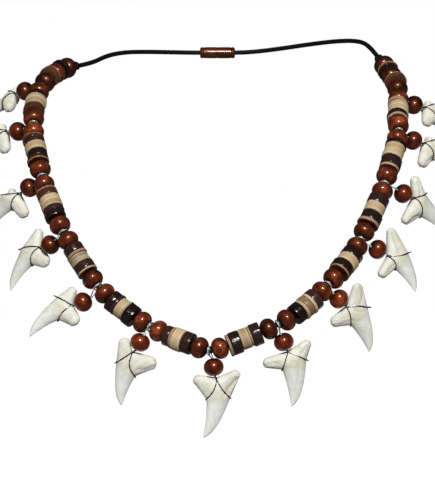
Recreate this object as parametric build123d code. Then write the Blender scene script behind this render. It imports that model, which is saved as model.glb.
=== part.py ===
from build123d import *
from typing import NamedTuple
import math
import os

# A necklace of thirteen shark teeth on a string of wooden beads and discs, in millimetres.
# It keeps its worn form. X runs to the viewer's right, the front faces -Y and Z is up.
# The origin is at the nape, on the neck's side of the clasp.

# Round wooden beads of the string
ROUND_BEAD_D = 8.0
ROUND_BEAD_L = 5.8
ROUND_BEAD_MOUTH_D = 3.0

# Flat discs of the string
DISC_D = 8.2
DISC_BEVEL = 0.35

# The cord, the bores round it and the slits that loose beads keep, which grow by a share of a bend's shift
CORD_D = 1.8
BORE_CLEARANCE = 0.25
LOOSE_GAP = 0.12
BEND_SLIT_SHARE = 0.3
CORD_BEND_R = 5.0

# The bead between the string and each tooth
DROP_BEAD_D = 7.3
DROP_BEAD_L = 6.1
DROP_BEAD_MOUTH_D = 3.0
DROP_BORE_D = 1.8
DROP_SEAT_GAP = 0.12

# The steel wire of each tooth
WIRE_D = 0.4
WIRE_CLEARANCE = 0.12
WIRE_TURN_GAP = 0.06
WIRE_TURNS = 1.75
WIRE_POINTS_A_TURN = 8
WIRE_BEND_R = 1.2

# The wire's ties: their gap to the tooth, how far they stand out at a notch in wire offsets, where the two
# strands part below the apex, how far apart they lie side by side, and the places of their points, as
# shares of the way from the parting to the notch
TIE_CLEARANCE = 0.25
NOTCH_STAND_OUT = 1.8
TIE_PART_DEPTH = 1.2
STRAND_SPACING = 0.52
TIE_PLACES = (0.1, 0.3, 0.6, 0.84, 0.95)
TIE_STEP = 0.02

# Teeth: the reach runs from the wire's apex down to the tip of a full-size tooth
TOOTH_REACH = 22.0
ROOT_HALF_WIDTH = 8.7
ROOT_THICKNESS = 5.2
LOBE_THICKNESS = 3.4
TIP_THICKNESS = 0.8
FRONT_SHARE = 0.46
TOOTH_HANG_GAP = 0.75
TOOTH_SET_BACK = 0.95

# The knots that stop the beads, and the clasp at the nape
KNOT_D = 3.8
KNOT_L = 3.5
KNOT_FACE_D = 2.6
CLASP_D = 4.5
CLASP_L = 14.0
CLASP_EDGE_R = 0.7
SOCKET_DEPTH = 4.0
SOCKET_CLEARANCE = 0.1

# The route of the string: the left end, the hangers of the thirteen teeth and the right end
STRING_ROUTE = [
    (-56.5, -50.0, -8.0),
    (-67.5, -69.0, -16.5),
    (-69.5, -90.5, -31.5),
    (-65.5, -107.0, -51.5),
    (-57.0, -121.0, -72.5),
    (-44.0, -131.0, -92.5),
    (-24.5, -139.0, -107.0),
    (-3.0, -148.0, -116.0),
    (22.0, -146.0, -106.0),
    (40.5, -136.0, -91.5),
    (53.0, -121.0, -75.0),
    (62.5, -107.5, -54.0),
    (68.5, -91.0, -34.0),
    (69.5, -69.0, -19.5),
    (63.5, -51.0, -6.0),
]

# The routes of the bare cord, from each knot round the nape to the clasp
LEFT_NECK_ROUTE = [
    (-49.0, -40.3, -6.1),
    (-43.4, -29.6, -2.6),
    (-36.6, -19.3, -0.8),
    (-28.5, -9.5, -0.2),
    (-19.5, -2.0, 0.0),
    (-9.5, 2.25, 0.0),
]
RIGHT_NECK_ROUTE = [
    (59.2, -41.4, 0.7),
    (55.2, -30.0, 3.2),
    (47.2, -19.4, 3.6),
    (37.0, -10.6, 2.8),
    (25.5, -3.6, 1.4),
    (17.0, 0.6, 0.5),
    (9.5, 2.25, 0.0),
]

# A corner's arc takes this share of its shorter run, and a seat is found to within this length
ARC_SHARE = 0.45
SEAT_TOLERANCE = 0.001
FLAT_AREA = 1e-9

ROUND, DARK, BROWN, PALE = "round", "dark", "brown", "pale"

# The stretches between two hangers: how far the string stands out of the straight line where the discs begin
# and end, and the beads in order, as (kind, share of the stretch's discs)
STRETCHES = [
    ((1.5, 1.3), [(ROUND, 0), (DARK, 3), (ROUND, 0), (BROWN, 5), (ROUND, 0)]),
    ((1.1, 0.7), [(ROUND, 0), (DARK, 5), (PALE, 4), (PALE, 4), (BROWN, 2), (DARK, 6), (ROUND, 0)]),
    ((0.9, 0.6), [(ROUND, 0), (DARK, 5), (DARK, 5), (PALE, 9), (DARK, 8), (BROWN, 5), (ROUND, 0)]),
    ((0.9, 0.6), [(ROUND, 0), (BROWN, 9), (PALE, 7), (PALE, 5), (DARK, 6), (DARK, 6), (ROUND, 0)]),
    ((0.3, 0.3), [(ROUND, 0), (DARK, 9), (BROWN, 3), (PALE, 6), (PALE, 3), (DARK, 9), (BROWN, 2), (ROUND, 0)]),
    ((0.8, 0.9), [(ROUND, 0), (DARK, 8), (DARK, 4), (PALE, 9), (BROWN, 2), (DARK, 11), (ROUND, 0)]),
    ((0.6, 0.0), [(ROUND, 0), (DARK, 7), (BROWN, 3), (PALE, 10), (DARK, 10), (ROUND, 0)]),
    ((0.4, 0.6), [(ROUND, 0), (BROWN, 3), (DARK, 11), (PALE, 10), (BROWN, 2), (DARK, 11), (ROUND, 0)]),
    ((1.3, 1.3), [(ROUND, 0), (DARK, 10), (PALE, 3), (BROWN, 7), (PALE, 3), (DARK, 9), (ROUND, 0)]),
    ((0.8, 1.0), [(ROUND, 0), (BROWN, 2), (DARK, 9), (PALE, 9), (DARK, 9), (ROUND, 0)]),
    ((0.2, 0.7), [(ROUND, 0), (BROWN, 3), (DARK, 9), (PALE, 9), (DARK, 9), (ROUND, 0)]),
    ((0.1, 0.4), [(ROUND, 0), (BROWN, 2), (DARK, 8), (PALE, 4), (PALE, 7), (DARK, 3), (ROUND, 0)]),
    ((-0.3, -0.3), [(ROUND, 0), (BROWN, 2), (DARK, 3), (PALE, 5), (PALE, 4), (BROWN, 3), (ROUND, 0)]),
    ((1.1, 0.6), [(ROUND, 0), (BROWN, 8), (ROUND, 0), (DARK, 3), (DARK, 3), (ROUND, 0)]),
]


class ToothRow(NamedTuple):
    """One tooth as it hangs, its tip down, seen from the front.

    drop is the way from the string to the tooth's bead. slack is the spare reach above that bead and
    hang the one below it, as shares of its diameter. turn is the tooth's angle from straight down, tilt
    its tip's lean to the back and twist its turn about its own length, in degrees. slip and every first
    number of a pair are shares of the root's half width, every second number is a share of the reach.
    """

    drop: tuple
    slack: float
    hang: float
    turn: float
    tilt: float
    twist: float
    slip: float
    left_end: tuple
    left_girth: float
    right_end: tuple
    right_girth: float
    left_notch: tuple
    right_notch: tuple
    tip: tuple


TEETH = [
    ToothRow((-6.4, 2.7, -1.5), 0.07, 0.28, -60, 30, 60, -0.35,
             (-0.35, -0.06), 0.18, (0.62, -0.13), 0.28, (-0.42, -0.21), (0.42, -0.29), (0.45, -0.84)),
    ToothRow((-6.0, 2.7, -2.5), 0.01, 0.13, -65, 28, 20, -0.30,
             (-0.25, -0.10), 0.18, (0.66, -0.16), 0.30, (-0.42, -0.28), (0.46, -0.34), (0.50, -0.82)),
    ToothRow((-4.8, 2.7, -3.9), 0.0, 0.18, -54, 25, 15, -0.10,
             (-0.25, -0.12), 0.17, (0.80, -0.12), 0.28, (-0.42, -0.32), (0.42, -0.26), (0.50, -0.85)),
    ToothRow((-4.9, 2.3, -4.3), 0.08, 0.04, -55, 20, 20, -0.20,
             (-0.59, 0.07), 0.22, (0.59, -0.07), 0.31, (-0.44, -0.34), (0.44, -0.29), (0.86, -0.87)),
    ToothRow((-5.4, 1.0, -5.4), 0.25, 0.06, -78, 12, 10, 0.03,
             (-0.60, 0.03), 0.21, (0.61, -0.03), 0.30, (-0.49, -0.25), (0.49, -0.28), (0.96, -0.83)),
    ToothRow((-3.9, 0.8, -5.8), 0.0, 0.07, -20, 5, 0, -0.18,
             (-0.44, 0.09), 0.25, (0.89, -0.08), 0.30, (-0.48, -0.26), (0.48, -0.37), (0.38, -0.92)),
    ToothRow((1.4, 1.0, -5.4), 0.0, 0.02, 4, 0, 0, 0.10,
             (-0.80, -0.02), 0.23, (0.80, 0.03), 0.21, (-0.51, -0.34), (0.51, -0.35), (-0.77, -0.98)),
    ToothRow((2.1, 1.2, -6.2), 0.0, 0.0, 27, 5, 0, -0.04,
             (-0.97, -0.02), 0.22, (0.86, -0.04), 0.20, (-0.55, -0.23), (0.55, -0.27), (-0.93, -0.86)),
    ToothRow((3.9, 1.3, -5.1), 0.0, 0.03, 52, 12, 0, -0.05,
             (-0.79, -0.02), 0.25, (0.89, 0.03), 0.24, (-0.52, -0.26), (0.52, -0.30), (-0.94, -0.80)),
    ToothRow((6.2, 1.2, -3.6), 0.11, 0.12, 73, 20, -10, -0.15,
             (-0.76, 0.01), 0.22, (1.05, 0.02), 0.22, (-0.43, -0.19), (0.43, -0.36), (-1.12, -0.65)),
    ToothRow((6.8, 1.9, -3.7), 0.21, 0.14, 51, 25, -20, 0.20,
             (-1.0, -0.10), 0.23, (0.66, 0.12), 0.22, (-0.49, -0.30), (0.49, -0.17), (-0.30, -0.86)),
    ToothRow((5.6, 2.1, -3.5), 0.03, 0.16, 60, 28, -25, 0.20,
             (-0.80, -0.12), 0.27, (0.28, -0.10), 0.17, (-0.48, -0.27), (0.42, -0.20), (-0.40, -0.84)),
    ToothRow((5.9, 2.9, -3.8), 0.21, 0.24, 62, 30, -35, 0.22,
             (-0.55, -0.12), 0.28, (0.28, -0.08), 0.18, (-0.46, -0.29), (0.42, -0.20), (-0.40, -0.84)),
]

# The shape that all teeth share, as shares: the saddle and the root's middle of the reach, the lobe's
# cap of its girth, and the bows of the blade's two edges of their own length
SADDLE_HEIGHT = 0.005
ROOT_MIDDLE = -0.17
LOBE_CAP = 0.9
LOBE_SPINE_END = 0.3
BLADE_SPINE_END = 0.95
BELLY_BOW = (0.07, 0.19)
HOLLOW_BOW = (-0.06, -0.03)
BOW_PLACES = (0.33, 0.78)
BLADE_TAPER = 1.3
ROOT_ROUNDNESS = 0.5
BLADE_ROUNDNESS = 0.85
BLADE_ROUNDNESS_FROM = 0.3

# The facets of a tooth: columns along each side of a lobe or blade, and rows from edge to spine
SIDE_COLUMNS = 6
FACET_ROWS = (0.12, 0.4, 1.0)

bore_d = CORD_D + 2 * BORE_CLEARANCE
wire_offset = WIRE_D / 2 + WIRE_CLEARANCE
tie_offset = WIRE_D / 2 + TIE_CLEARANCE
route = [Vector(*point) for point in STRING_ROUTE]
chords = [(end - start).normalized() for start, end in zip(route, route[1:])]


def belly_arc(diameter, length, mouth_d):
    """A round bead's belly arc, as its centre's distance from the bead's axis and its radius."""
    from_axis = ((diameter ** 2 - length ** 2 - mouth_d ** 2) / 4) / (diameter - mouth_d)
    return from_axis, diameter / 2 - from_axis


def round_bead(diameter, length, mouth_d, hole_d):
    """A drilled bead on the Z axis, whose belly is one arc from mouth to mouth."""
    half = length / 2
    rim = mouth_d / 2
    hole = hole_d / 2
    belly = ThreePointArc((rim, -half), (diameter / 2, 0), (rim, half))
    inside = Polyline((rim, half), (hole, half), (hole, -half), (rim, -half))
    return revolve(Plane.XZ * make_face([belly, inside]), Axis.Z)


def disc(diameter, thickness, bevel, hole_d):
    """A drilled disc on the Z axis with both rims bevelled."""
    half = thickness / 2
    rim = diameter / 2
    hole = hole_d / 2
    cut = min(bevel, half / 2)
    outline = Polyline(
        (hole, -half), (rim - cut, -half), (rim, cut - half), (rim, half - cut), (rim - cut, half), (hole, half),
        close=True,
    )
    return revolve(Plane.XZ * make_face(outline), Axis.Z)


def set_on(solid, centre, direction):
    """The solid with its own origin at centre and its own Z axis along direction."""
    return Plane(origin=centre, z_dir=direction).location * solid


def corner_radii(points, largest):
    """A radius for each corner, so that its arc takes a share of the shorter run, within largest."""
    radii = []
    for before, corner, after in zip(points, points[1:], points[2:]):
        shorter_run = min((corner - before).length, (after - corner).length)
        half_turn = math.radians((corner - before).get_angle(after - corner)) / 2
        radii.append(min(ARC_SHARE * shorter_run / math.tan(half_turn), largest))
    return radii


def tube(points, radii, diameter):
    """A round tube along straight runs joined by tangent arcs."""
    path = FilletPolyline(*points, radius=radii)
    section = Plane(origin=path @ 0, z_dir=path % 0) * Circle(diameter / 2)
    return sweep(section, path=path)


def turn_between(before, after):
    """The angle from one direction to another, in radians."""
    return math.radians(before.get_angle(after))


def hanger_gap(station):
    """The space along the string between the two beads at a hanger, for the wire's turns and the kink."""
    if station in (0, len(STRETCHES)):
        return 0
    loop_r = CORD_D / 2 + WIRE_CLEARANCE + WIRE_D
    band = 2 * WIRE_D + WIRE_TURN_GAP + 2 * WIRE_CLEARANCE
    return band + 2 * loop_r * math.tan(turn_between(chords[station - 1], chords[station]) / 2)


def bend_slit(shift):
    """The slit between a stretch's outer round bead and its discs, where the string bends."""
    return LOOSE_GAP + BEND_SLIT_SHARE * abs(shift)


def bend_points(number):
    """The two bends of a stretch, each between an outer round bead and the discs."""
    shifts = STRETCHES[number][0]
    outward = Vector(chords[number].Z, 0, -chords[number].X).normalized()
    sides = [(number, chords[number], shifts[0]), (number + 1, -chords[number], shifts[1])]
    points = []
    for station, way, shift in sides:
        run = hanger_gap(station) / 2 + ROUND_BEAD_L + bend_slit(shift) / 2
        points.append(route[station] + way * math.sqrt(run ** 2 - shift ** 2) + outward * shift)
    return points


bends = [bend_points(number) for number in range(len(STRETCHES))]
leaving = [(bend[0] - start).normalized() for start, bend in zip(route, bends)]
arriving = [(end - bend[1]).normalized() for end, bend in zip(route[1:], bends)]


def string_beads():
    """Every bead of the string as (kind, centre, direction, length), stretch by stretch."""
    beads = []
    for number, (shifts, stretch) in enumerate(STRETCHES):
        first, last = bends[number]
        way = (last - first).normalized()
        slits = [bend_slit(shift) for shift in shifts]
        middle = stretch[1:-1]
        rounds = ROUND_BEAD_L * sum(1 for kind, share in middle if kind == ROUND)
        discs = (last - first).length - sum(slits) / 2 - rounds - LOOSE_GAP * (len(middle) - 1)
        unit = discs / sum(share for kind, share in middle)
        starting = first - leaving[number] * ((slits[0] + ROUND_BEAD_L) / 2)
        ending = last + arriving[number] * ((slits[1] + ROUND_BEAD_L) / 2)
        beads.append((stretch[0][0], starting, leaving[number], ROUND_BEAD_L))
        along = slits[0] / 2
        for kind, share in middle:
            length = ROUND_BEAD_L if kind == ROUND else share * unit
            beads.append((kind, first + way * (along + length / 2), way, length))
            along += length + LOOSE_GAP
        beads.append((stretch[-1][0], ending, arriving[number], ROUND_BEAD_L))
    return beads


class Hanger:
    """The place of one tooth's wire, bead and tooth on the string."""

    def __init__(self, station, row):
        before, after = arriving[station - 1], leaving[station]
        corner_cut = CORD_BEND_R * (1 / math.cos(turn_between(before, after) / 2) - 1)
        self.row = row
        self.centre = route[station] + (after - before).normalized() * corner_cut
        self.along = (before + after).normalized()
        turn, tilt, twist = (math.radians(angle) for angle in (row.turn, row.tilt, row.twist))
        level = Vector(math.cos(turn), 0, math.sin(turn))
        straight_down = Vector(math.sin(turn), 0, -math.cos(turn))
        behind = Vector(0, math.cos(tilt), 0) - straight_down * math.sin(tilt)
        self.down = straight_down * math.cos(tilt) + Vector(0, math.sin(tilt), 0)
        self.right = level * math.cos(twist) - behind * math.sin(twist)
        self.back = behind * math.cos(twist) + level * math.sin(twist)
        self.drop = Vector(*row.drop).normalized()
        self.bead_axis = (self.drop + self.down).normalized()
        self.bead = self.centre + self.drop * self.seat_reach(station)
        self.origin = (
            self.bead
            + self.down * (DROP_BEAD_L / 2 + TOOTH_HANG_GAP + row.hang * DROP_BEAD_D)
            + self.back * TOOTH_SET_BACK
            + self.right * (row.slip * ROOT_HALF_WIDTH)
        )

    def seat_reach(self, station):
        """How far the drop bead's centre lies from the cord where it seats on the nearer round bead."""
        beside = (hanger_gap(station) + ROUND_BEAD_L) / 2
        neighbours = [
            (route[station] - arriving[station - 1] * beside, arriving[station - 1]),
            (route[station] + leaving[station] * beside, leaving[station]),
        ]
        string_arc = belly_arc(ROUND_BEAD_D, ROUND_BEAD_L, ROUND_BEAD_MOUTH_D)
        drop_arc = belly_arc(DROP_BEAD_D, DROP_BEAD_L, DROP_BEAD_MOUTH_D)
        near, far = ROUND_BEAD_D / 2, ROUND_BEAD_D + DROP_BEAD_D
        while far - near > SEAT_TOLERANCE:
            reach = (near + far) / 2
            centre = self.centre + self.drop * reach
            spaces = []
            for other, axis in neighbours:
                between = other - centre
                way = between.normalized()
                string_side = string_arc[0] * way.cross(axis).length + string_arc[1]
                drop_side = drop_arc[0] * way.cross(self.bead_axis).length + drop_arc[1]
                spaces.append(between.length - string_side - drop_side - DROP_SEAT_GAP)
            if min(spaces) > 0:
                far = reach
            else:
                near = reach
        return far + self.row.slack * DROP_BEAD_D

    def place(self, x, y, z):
        """A point of the tooth's own frame, x to its right, y to its back and z up, in the necklace's frame."""
        return self.origin + self.right * x + self.back * y - self.down * z


def flat(pair):
    """A pair of shares as a point of the tooth's own plane."""
    return Vector(pair[0] * ROOT_HALF_WIDTH, 0, pair[1] * TOOTH_REACH)


def through_points(points, share):
    """A point at a share of the way along a smooth line through points (a Catmull-Rom curve)."""
    runs = [(after - before).length for before, after in zip(points, points[1:])]
    travel = share * sum(runs)
    span = 0
    while span < len(runs) - 1 and travel > runs[span]:
        travel -= runs[span]
        span += 1
    t = min(travel / runs[span], 1)
    start, end = points[span], points[span + 1]
    before = points[max(span - 1, 0)]
    after = points[min(span + 2, len(points) - 1)]
    return (
        start
        + (end - before) * (t / 2)
        + (before * 2 - start * 5 + end * 4 - after) * (t ** 2 / 2)
        + (start * 3 - before - end * 3 + after) * (t ** 3 / 2)
    )


def edge_curve(start, tip, bows, side, share):
    """A point of a blade's edge, a cubic curve from a notch to the tip, bowed to one side."""
    chord = tip - start
    outward = Vector(-chord.Z, 0, chord.X) * side
    controls = [start + chord * place + outward * bow for place, bow in zip(BOW_PLACES, bows)]
    rest = 1 - share
    return (
        start * rest ** 3
        + controls[0] * (3 * rest ** 2 * share)
        + controls[1] * (3 * rest * share ** 2)
        + tip * share ** 3
    )


class ToothShape:
    """A tooth's surface: from its outline the front and the back both rise to a spine of three arms."""

    def __init__(self, row):
        self.middle = flat((0, ROOT_MIDDLE))
        self.columns = []
        saddle = flat((0, SADDLE_HEIGHT))
        notches = {-1: flat(row.left_notch), 1: flat(row.right_notch)}
        ends = {-1: flat(row.left_end), 1: flat(row.right_end)}
        girths = {-1: row.left_girth * ROOT_HALF_WIDTH, 1: row.right_girth * ROOT_HALF_WIDTH}
        tip = flat(row.tip)
        steps = range(SIDE_COLUMNS)
        for side in (-1, 1):
            axis = (ends[side] - self.middle).normalized()
            across = Vector(-axis.Z, 0, axis.X) * side
            cap = ends[side] + axis * (LOBE_CAP * girths[side])
            upper = [saddle, ends[side] + across * girths[side], cap]
            lower = [cap, ends[side] - across * girths[side], notches[side]]
            spine_end = ends[side] + axis * (LOBE_SPINE_END * girths[side])
            lobe = [self.lobe_column(upper, step / SIDE_COLUMNS, step / SIDE_COLUMNS, spine_end) for step in steps]
            lobe += [
                self.lobe_column(lower, step / SIDE_COLUMNS, 1 - step / SIDE_COLUMNS, spine_end) for step in steps
            ]
            bows = BELLY_BOW if side * tip.X < 0 else HOLLOW_BOW
            blade = [self.blade_column(notches, tip, side, bows, step / SIDE_COLUMNS) for step in steps]
            half_outline = lobe + blade
            if side < 0:
                self.columns += half_outline + [self.blade_column(notches, tip, side, bows, 1)]
            else:
                self.columns += half_outline[:0:-1]

    def lobe_column(self, outline, share, along, spine_end):
        """The outline point, spine point, half thickness and roundness of one column of a lobe."""
        thickness = ROOT_THICKNESS + (LOBE_THICKNESS - ROOT_THICKNESS) * along
        spine = self.middle + (spine_end - self.middle) * along
        return through_points(outline, share), spine, thickness / 2, ROOT_ROUNDNESS

    def blade_column(self, notches, tip, side, bows, along):
        """The outline point, spine point, half thickness and roundness of one column of the blade."""
        other_bows = HOLLOW_BOW if bows == BELLY_BOW else BELLY_BOW
        edge = edge_curve(notches[side], tip, bows, side, along)
        inner = along * BLADE_SPINE_END
        this_side = edge_curve(notches[side], tip, bows, side, inner)
        other_side = edge_curve(notches[-side], tip, other_bows, -side, inner)
        base_middle = (notches[-1] + notches[1]) / 2
        spine = (this_side + other_side) / 2 + (self.middle - base_middle) * (1 - along) ** 3
        thickness = TIP_THICKNESS + (ROOT_THICKNESS - TIP_THICKNESS) * (1 - along) ** BLADE_TAPER
        sharpening = min(along / BLADE_ROUNDNESS_FROM, 1)
        roundness = ROOT_ROUNDNESS + (BLADE_ROUNDNESS - ROOT_ROUNDNESS) * sharpening
        return edge, spine, thickness / 2, roundness

    def point(self, column, row_share, face):
        """A surface point: face is -1 at the front and 1 at the back, row_share 0 at the edge and 1 on the spine."""
        outline, spine, half_thickness, roundness = self.columns[column % len(self.columns)]
        flat_point = outline + (spine - outline) * row_share
        face_share = 2 * (FRONT_SHARE if face < 0 else 1 - FRONT_SHARE)
        rise = half_thickness * face_share * (1 - (1 - row_share) ** 2) ** roundness
        return Vector(flat_point.X, face * rise, flat_point.Z)

    def triangles(self, face):
        """The triangles of the front or the back."""
        found = []
        rows = (0.0,) + FACET_ROWS
        for column in range(len(self.columns)):
            for outer, inner in zip(rows, rows[1:]):
                a = self.point(column, outer, face)
                b = self.point(column + 1, outer, face)
                c = self.point(column + 1, inner, face)
                d = self.point(column, inner, face)
                found += [(a, b, c), (a, c, d)]
        return found


def rise_at(triangles, x, z):
    """How far a face of the tooth rises from its middle plane at a place of that plane, and 0 outside."""
    for a, b, c in triangles:
        area = (b.X - a.X) * (c.Z - a.Z) - (c.X - a.X) * (b.Z - a.Z)
        if abs(area) < FLAT_AREA:
            continue
        share_b = ((x - a.X) * (c.Z - a.Z) - (c.X - a.X) * (z - a.Z)) / area
        share_c = ((b.X - a.X) * (z - a.Z) - (x - a.X) * (b.Z - a.Z)) / area
        if min(share_b, share_c) >= 0 and share_b + share_c <= 1:
            return abs(a.Y + (b.Y - a.Y) * share_b + (c.Y - a.Y) * share_c)
    return 0.0


def tie_points(hanger, faces, side, notch):
    """One strand of a tooth's wire: from the apex down the front to a notch, round it and up the back."""
    part = Vector(0, 0, -TIE_PART_DEPTH)
    way = notch - part
    points = {-1: [], 1: []}
    for face in (-1, 1):
        apex_rise = rise_at(faces[face], side * STRAND_SPACING / 2, part.Z / 2) + tie_offset
        points[face].append(hanger.place(side * STRAND_SPACING / 2, face * apex_rise, part.Z / 2))
        for share in TIE_PLACES:
            place = part + way * share
            before = part + way * (share - TIE_STEP)
            after = part + way * (share + TIE_STEP)
            rise = rise_at(faces[face], place.X, place.Z)
            slope = rise_at(faces[face], before.X, before.Z) - rise_at(faces[face], after.X, after.Z)
            normal = Vector(slope, 2 * TIE_STEP * way.length, 0).normalized() * tie_offset
            shifted = place + way.normalized() * normal.X
            points[face].append(hanger.place(shifted.X, face * (rise + normal.Y), shifted.Z))
    outside = notch + way.normalized() * (NOTCH_STAND_OUT * tie_offset)
    return points[-1] + [hanger.place(outside.X, 0, outside.Z)] + points[1][::-1]


def wire_turns(hanger):
    """The wire's turns round the cord, from the front below it to the back below it."""
    below = (hanger.drop - hanger.along * hanger.drop.dot(hanger.along)).normalized()
    front = below.cross(hanger.along)
    step = 2 * math.pi / WIRE_POINTS_A_TURN
    radius = (CORD_D / 2 + wire_offset) / math.cos(step / 2)
    count = round(WIRE_TURNS * WIRE_POINTS_A_TURN)
    start = (2 * math.pi * (2 - WIRE_TURNS)) / 2
    points = []
    for number in range(count + 1):
        angle = start + number * step
        aside = (WIRE_D + WIRE_TURN_GAP) * WIRE_TURNS * (number / count - 0.5)
        points.append(
            hanger.centre
            + below * (radius * math.cos(angle))
            + front * (radius * math.sin(angle))
            + hanger.along * aside
        )
    return points


def wire_points(hanger, shape, row):
    """The whole line of a tooth's wire: up one strand, round the cord and down the other."""
    faces = {face: shape.triangles(face) for face in (-1, 1)}
    left = tie_points(hanger, faces, -1, flat(row.left_notch))
    right = tie_points(hanger, faces, 1, flat(row.right_notch))
    across = (hanger.along - hanger.bead_axis * hanger.along.dot(hanger.bead_axis)).normalized()
    aside = across * (STRAND_SPACING / 2)
    top = hanger.bead - hanger.bead_axis * (DROP_BEAD_L / 2)
    bottom = hanger.bead + hanger.bead_axis * (DROP_BEAD_L / 2)
    return (
        left[::-1]
        + [bottom - aside, top - aside]
        + wire_turns(hanger)
        + [top + aside, bottom + aside]
        + right
    )


def tooth_solid(hanger, shape):
    """A tooth as a closed solid of flat facets, in its place."""
    facets = []
    for face in (-1, 1):
        for corners in shape.triangles(face):
            placed = [hanger.place(corner.X, corner.Y, corner.Z) for corner in corners]
            facets.append(Face(Wire.make_polygon(placed[::-face], close=True)))
    return Solid(Shell(facets))


def end_knot():
    """A knot on the Z axis, from 0 up, with a flat face at each end."""
    face_r = KNOT_FACE_D / 2
    belly = ThreePointArc((face_r, 0), (KNOT_D / 2, KNOT_L / 2), (face_r, KNOT_L))
    inside = Polyline((face_r, KNOT_L), (0, KNOT_L), (0, 0), (face_r, 0))
    return revolve(Plane.XZ * make_face([belly, inside]), Axis.Z)


def barrel_clasp():
    """A plain barrel along X behind the origin, with a socket for the cord in each end."""
    barrel = Cylinder(CLASP_D / 2, CLASP_L, rotation=(0, 90, 0))
    barrel = fillet(barrel.edges().filter_by(GeomType.CIRCLE), CLASP_EDGE_R)
    socket = Cylinder(CORD_D / 2 + SOCKET_CLEARANCE, SOCKET_DEPTH, rotation=(0, 90, 0))
    for side in (-1, 1):
        barrel -= Pos(side * (CLASP_L - SOCKET_DEPTH) / 2, 0, 0) * socket
    return Pos(0, CLASP_D / 2, 0) * barrel


def neck_points(start, neck_route, side):
    """The bare cord's line from just off a knot's outer face to the bottom of the clasp's socket."""
    socket_end = Vector(side * (CLASP_L / 2 - SOCKET_DEPTH + SOCKET_CLEARANCE), CLASP_D / 2, 0)
    return [start] + [Vector(*point) for point in neck_route] + [socket_end]


def write(name, shape):
    """One STEP file of a named node."""
    export_step(shape, os.path.join("parts", name + ".step"))


def main():
    """Builds every node and writes its file."""
    os.makedirs("parts", exist_ok=True)

    kinds = {ROUND: [], DARK: [], BROWN: [], PALE: []}
    for kind, centre, direction, length in string_beads():
        if kind == ROUND:
            bead = round_bead(ROUND_BEAD_D, length, ROUND_BEAD_MOUTH_D, bore_d)
        else:
            bead = disc(DISC_D, length, DISC_BEVEL, bore_d)
        kinds[kind].append(set_on(bead, centre, direction))
    write("round_beads", Compound(kinds[ROUND]))
    write("dark_discs", Compound(kinds[DARK] + kinds[BROWN]))
    write("pale_discs", Compound(kinds[PALE]))

    drop_bead = round_bead(DROP_BEAD_D, DROP_BEAD_L, DROP_BEAD_MOUTH_D, DROP_BORE_D)
    for number, row in enumerate(TEETH, start=1):
        hanger = Hanger(number, row)
        shape = ToothShape(row)
        points = wire_points(hanger, shape, row)
        write(f"drop_bead_{number:02d}", set_on(drop_bead, hanger.bead, hanger.bead_axis))
        write(f"tooth_wire_{number:02d}", tube(points, corner_radii(points, WIRE_BEND_R), WIRE_D))
        write(f"tooth_{number:02d}", tooth_solid(hanger, shape))

    string_ends = [route[0] - leaving[0] * LOOSE_GAP, route[-1] + arriving[-1] * LOOSE_GAP]
    corners = [point for station, bend in zip(route, bends) for point in [station] + bend][1:]
    write("bead_cord", tube([string_ends[0]] + corners + [string_ends[1]], [CORD_BEND_R] * len(corners), CORD_D))

    sides = [
        ("left", -1, string_ends[0], -leaving[0], LEFT_NECK_ROUTE),
        ("right", 1, string_ends[1], arriving[-1], RIGHT_NECK_ROUTE),
    ]
    for name, side, seat, outward, neck_route in sides:
        points = neck_points(seat + outward * (KNOT_L + LOOSE_GAP), neck_route, side)
        radii = corner_radii(points, math.inf)
        cord = tube(points, radii, CORD_D)
        length = sum(edge.length for edge in FilletPolyline(*points, radius=radii).edges())
        section = math.pi * CORD_D ** 2 / 4
        print(name, "neck cord radii", [round(radius, 1) for radius in radii])
        print(name, "neck cord length", round(length, 1), "volume", round(cord.volume, 1),
              "section by length", round(section * length, 1))
        write("neck_cord_" + name, cord)
        write("end_knot_" + name, set_on(end_knot(), seat, outward))
    write("barrel_clasp", barrel_clasp())


main()
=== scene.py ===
"""Looks for a shark tooth necklace: thirteen teeth on a string of wooden beads and discs, held as worn.

Lengths are in millimetres until a mesh is made, and the frame is in metres. X runs to the viewer's right,
the front faces -Y and Z is up. The origin is at the nape.
"""

import logging
from collections.abc import Callable
from dataclasses import dataclass, field
from enum import Enum

import bmesh
import bpy
import numpy as np
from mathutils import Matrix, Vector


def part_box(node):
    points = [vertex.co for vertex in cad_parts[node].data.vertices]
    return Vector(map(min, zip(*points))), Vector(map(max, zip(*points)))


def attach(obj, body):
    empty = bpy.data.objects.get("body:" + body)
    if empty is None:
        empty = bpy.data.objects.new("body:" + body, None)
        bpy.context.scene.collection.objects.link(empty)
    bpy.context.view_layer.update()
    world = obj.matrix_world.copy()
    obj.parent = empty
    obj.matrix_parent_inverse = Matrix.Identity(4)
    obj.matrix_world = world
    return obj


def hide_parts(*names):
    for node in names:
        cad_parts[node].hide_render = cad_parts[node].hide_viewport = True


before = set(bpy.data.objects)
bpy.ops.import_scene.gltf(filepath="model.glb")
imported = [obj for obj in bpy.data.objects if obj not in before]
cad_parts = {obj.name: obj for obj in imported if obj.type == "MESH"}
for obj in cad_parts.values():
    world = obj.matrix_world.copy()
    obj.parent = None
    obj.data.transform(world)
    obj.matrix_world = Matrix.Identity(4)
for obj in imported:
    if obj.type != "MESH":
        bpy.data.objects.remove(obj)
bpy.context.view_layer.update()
MM = 0.001
BODY = "root"
log = logging.getLogger("necklace")

Triple = tuple[float, float, float]
Stops = tuple[tuple[float, Triple], ...]
WHITE = (1.0, 1.0, 1.0)

# Object coordinates, stretched into millimetres
IN_MILLIMETRES = (1000.0, 1000.0, 1000.0)

# How far each bead's grain is moved at random at most, so that no two beads are alike
GRAIN_SPREAD = 90

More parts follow.
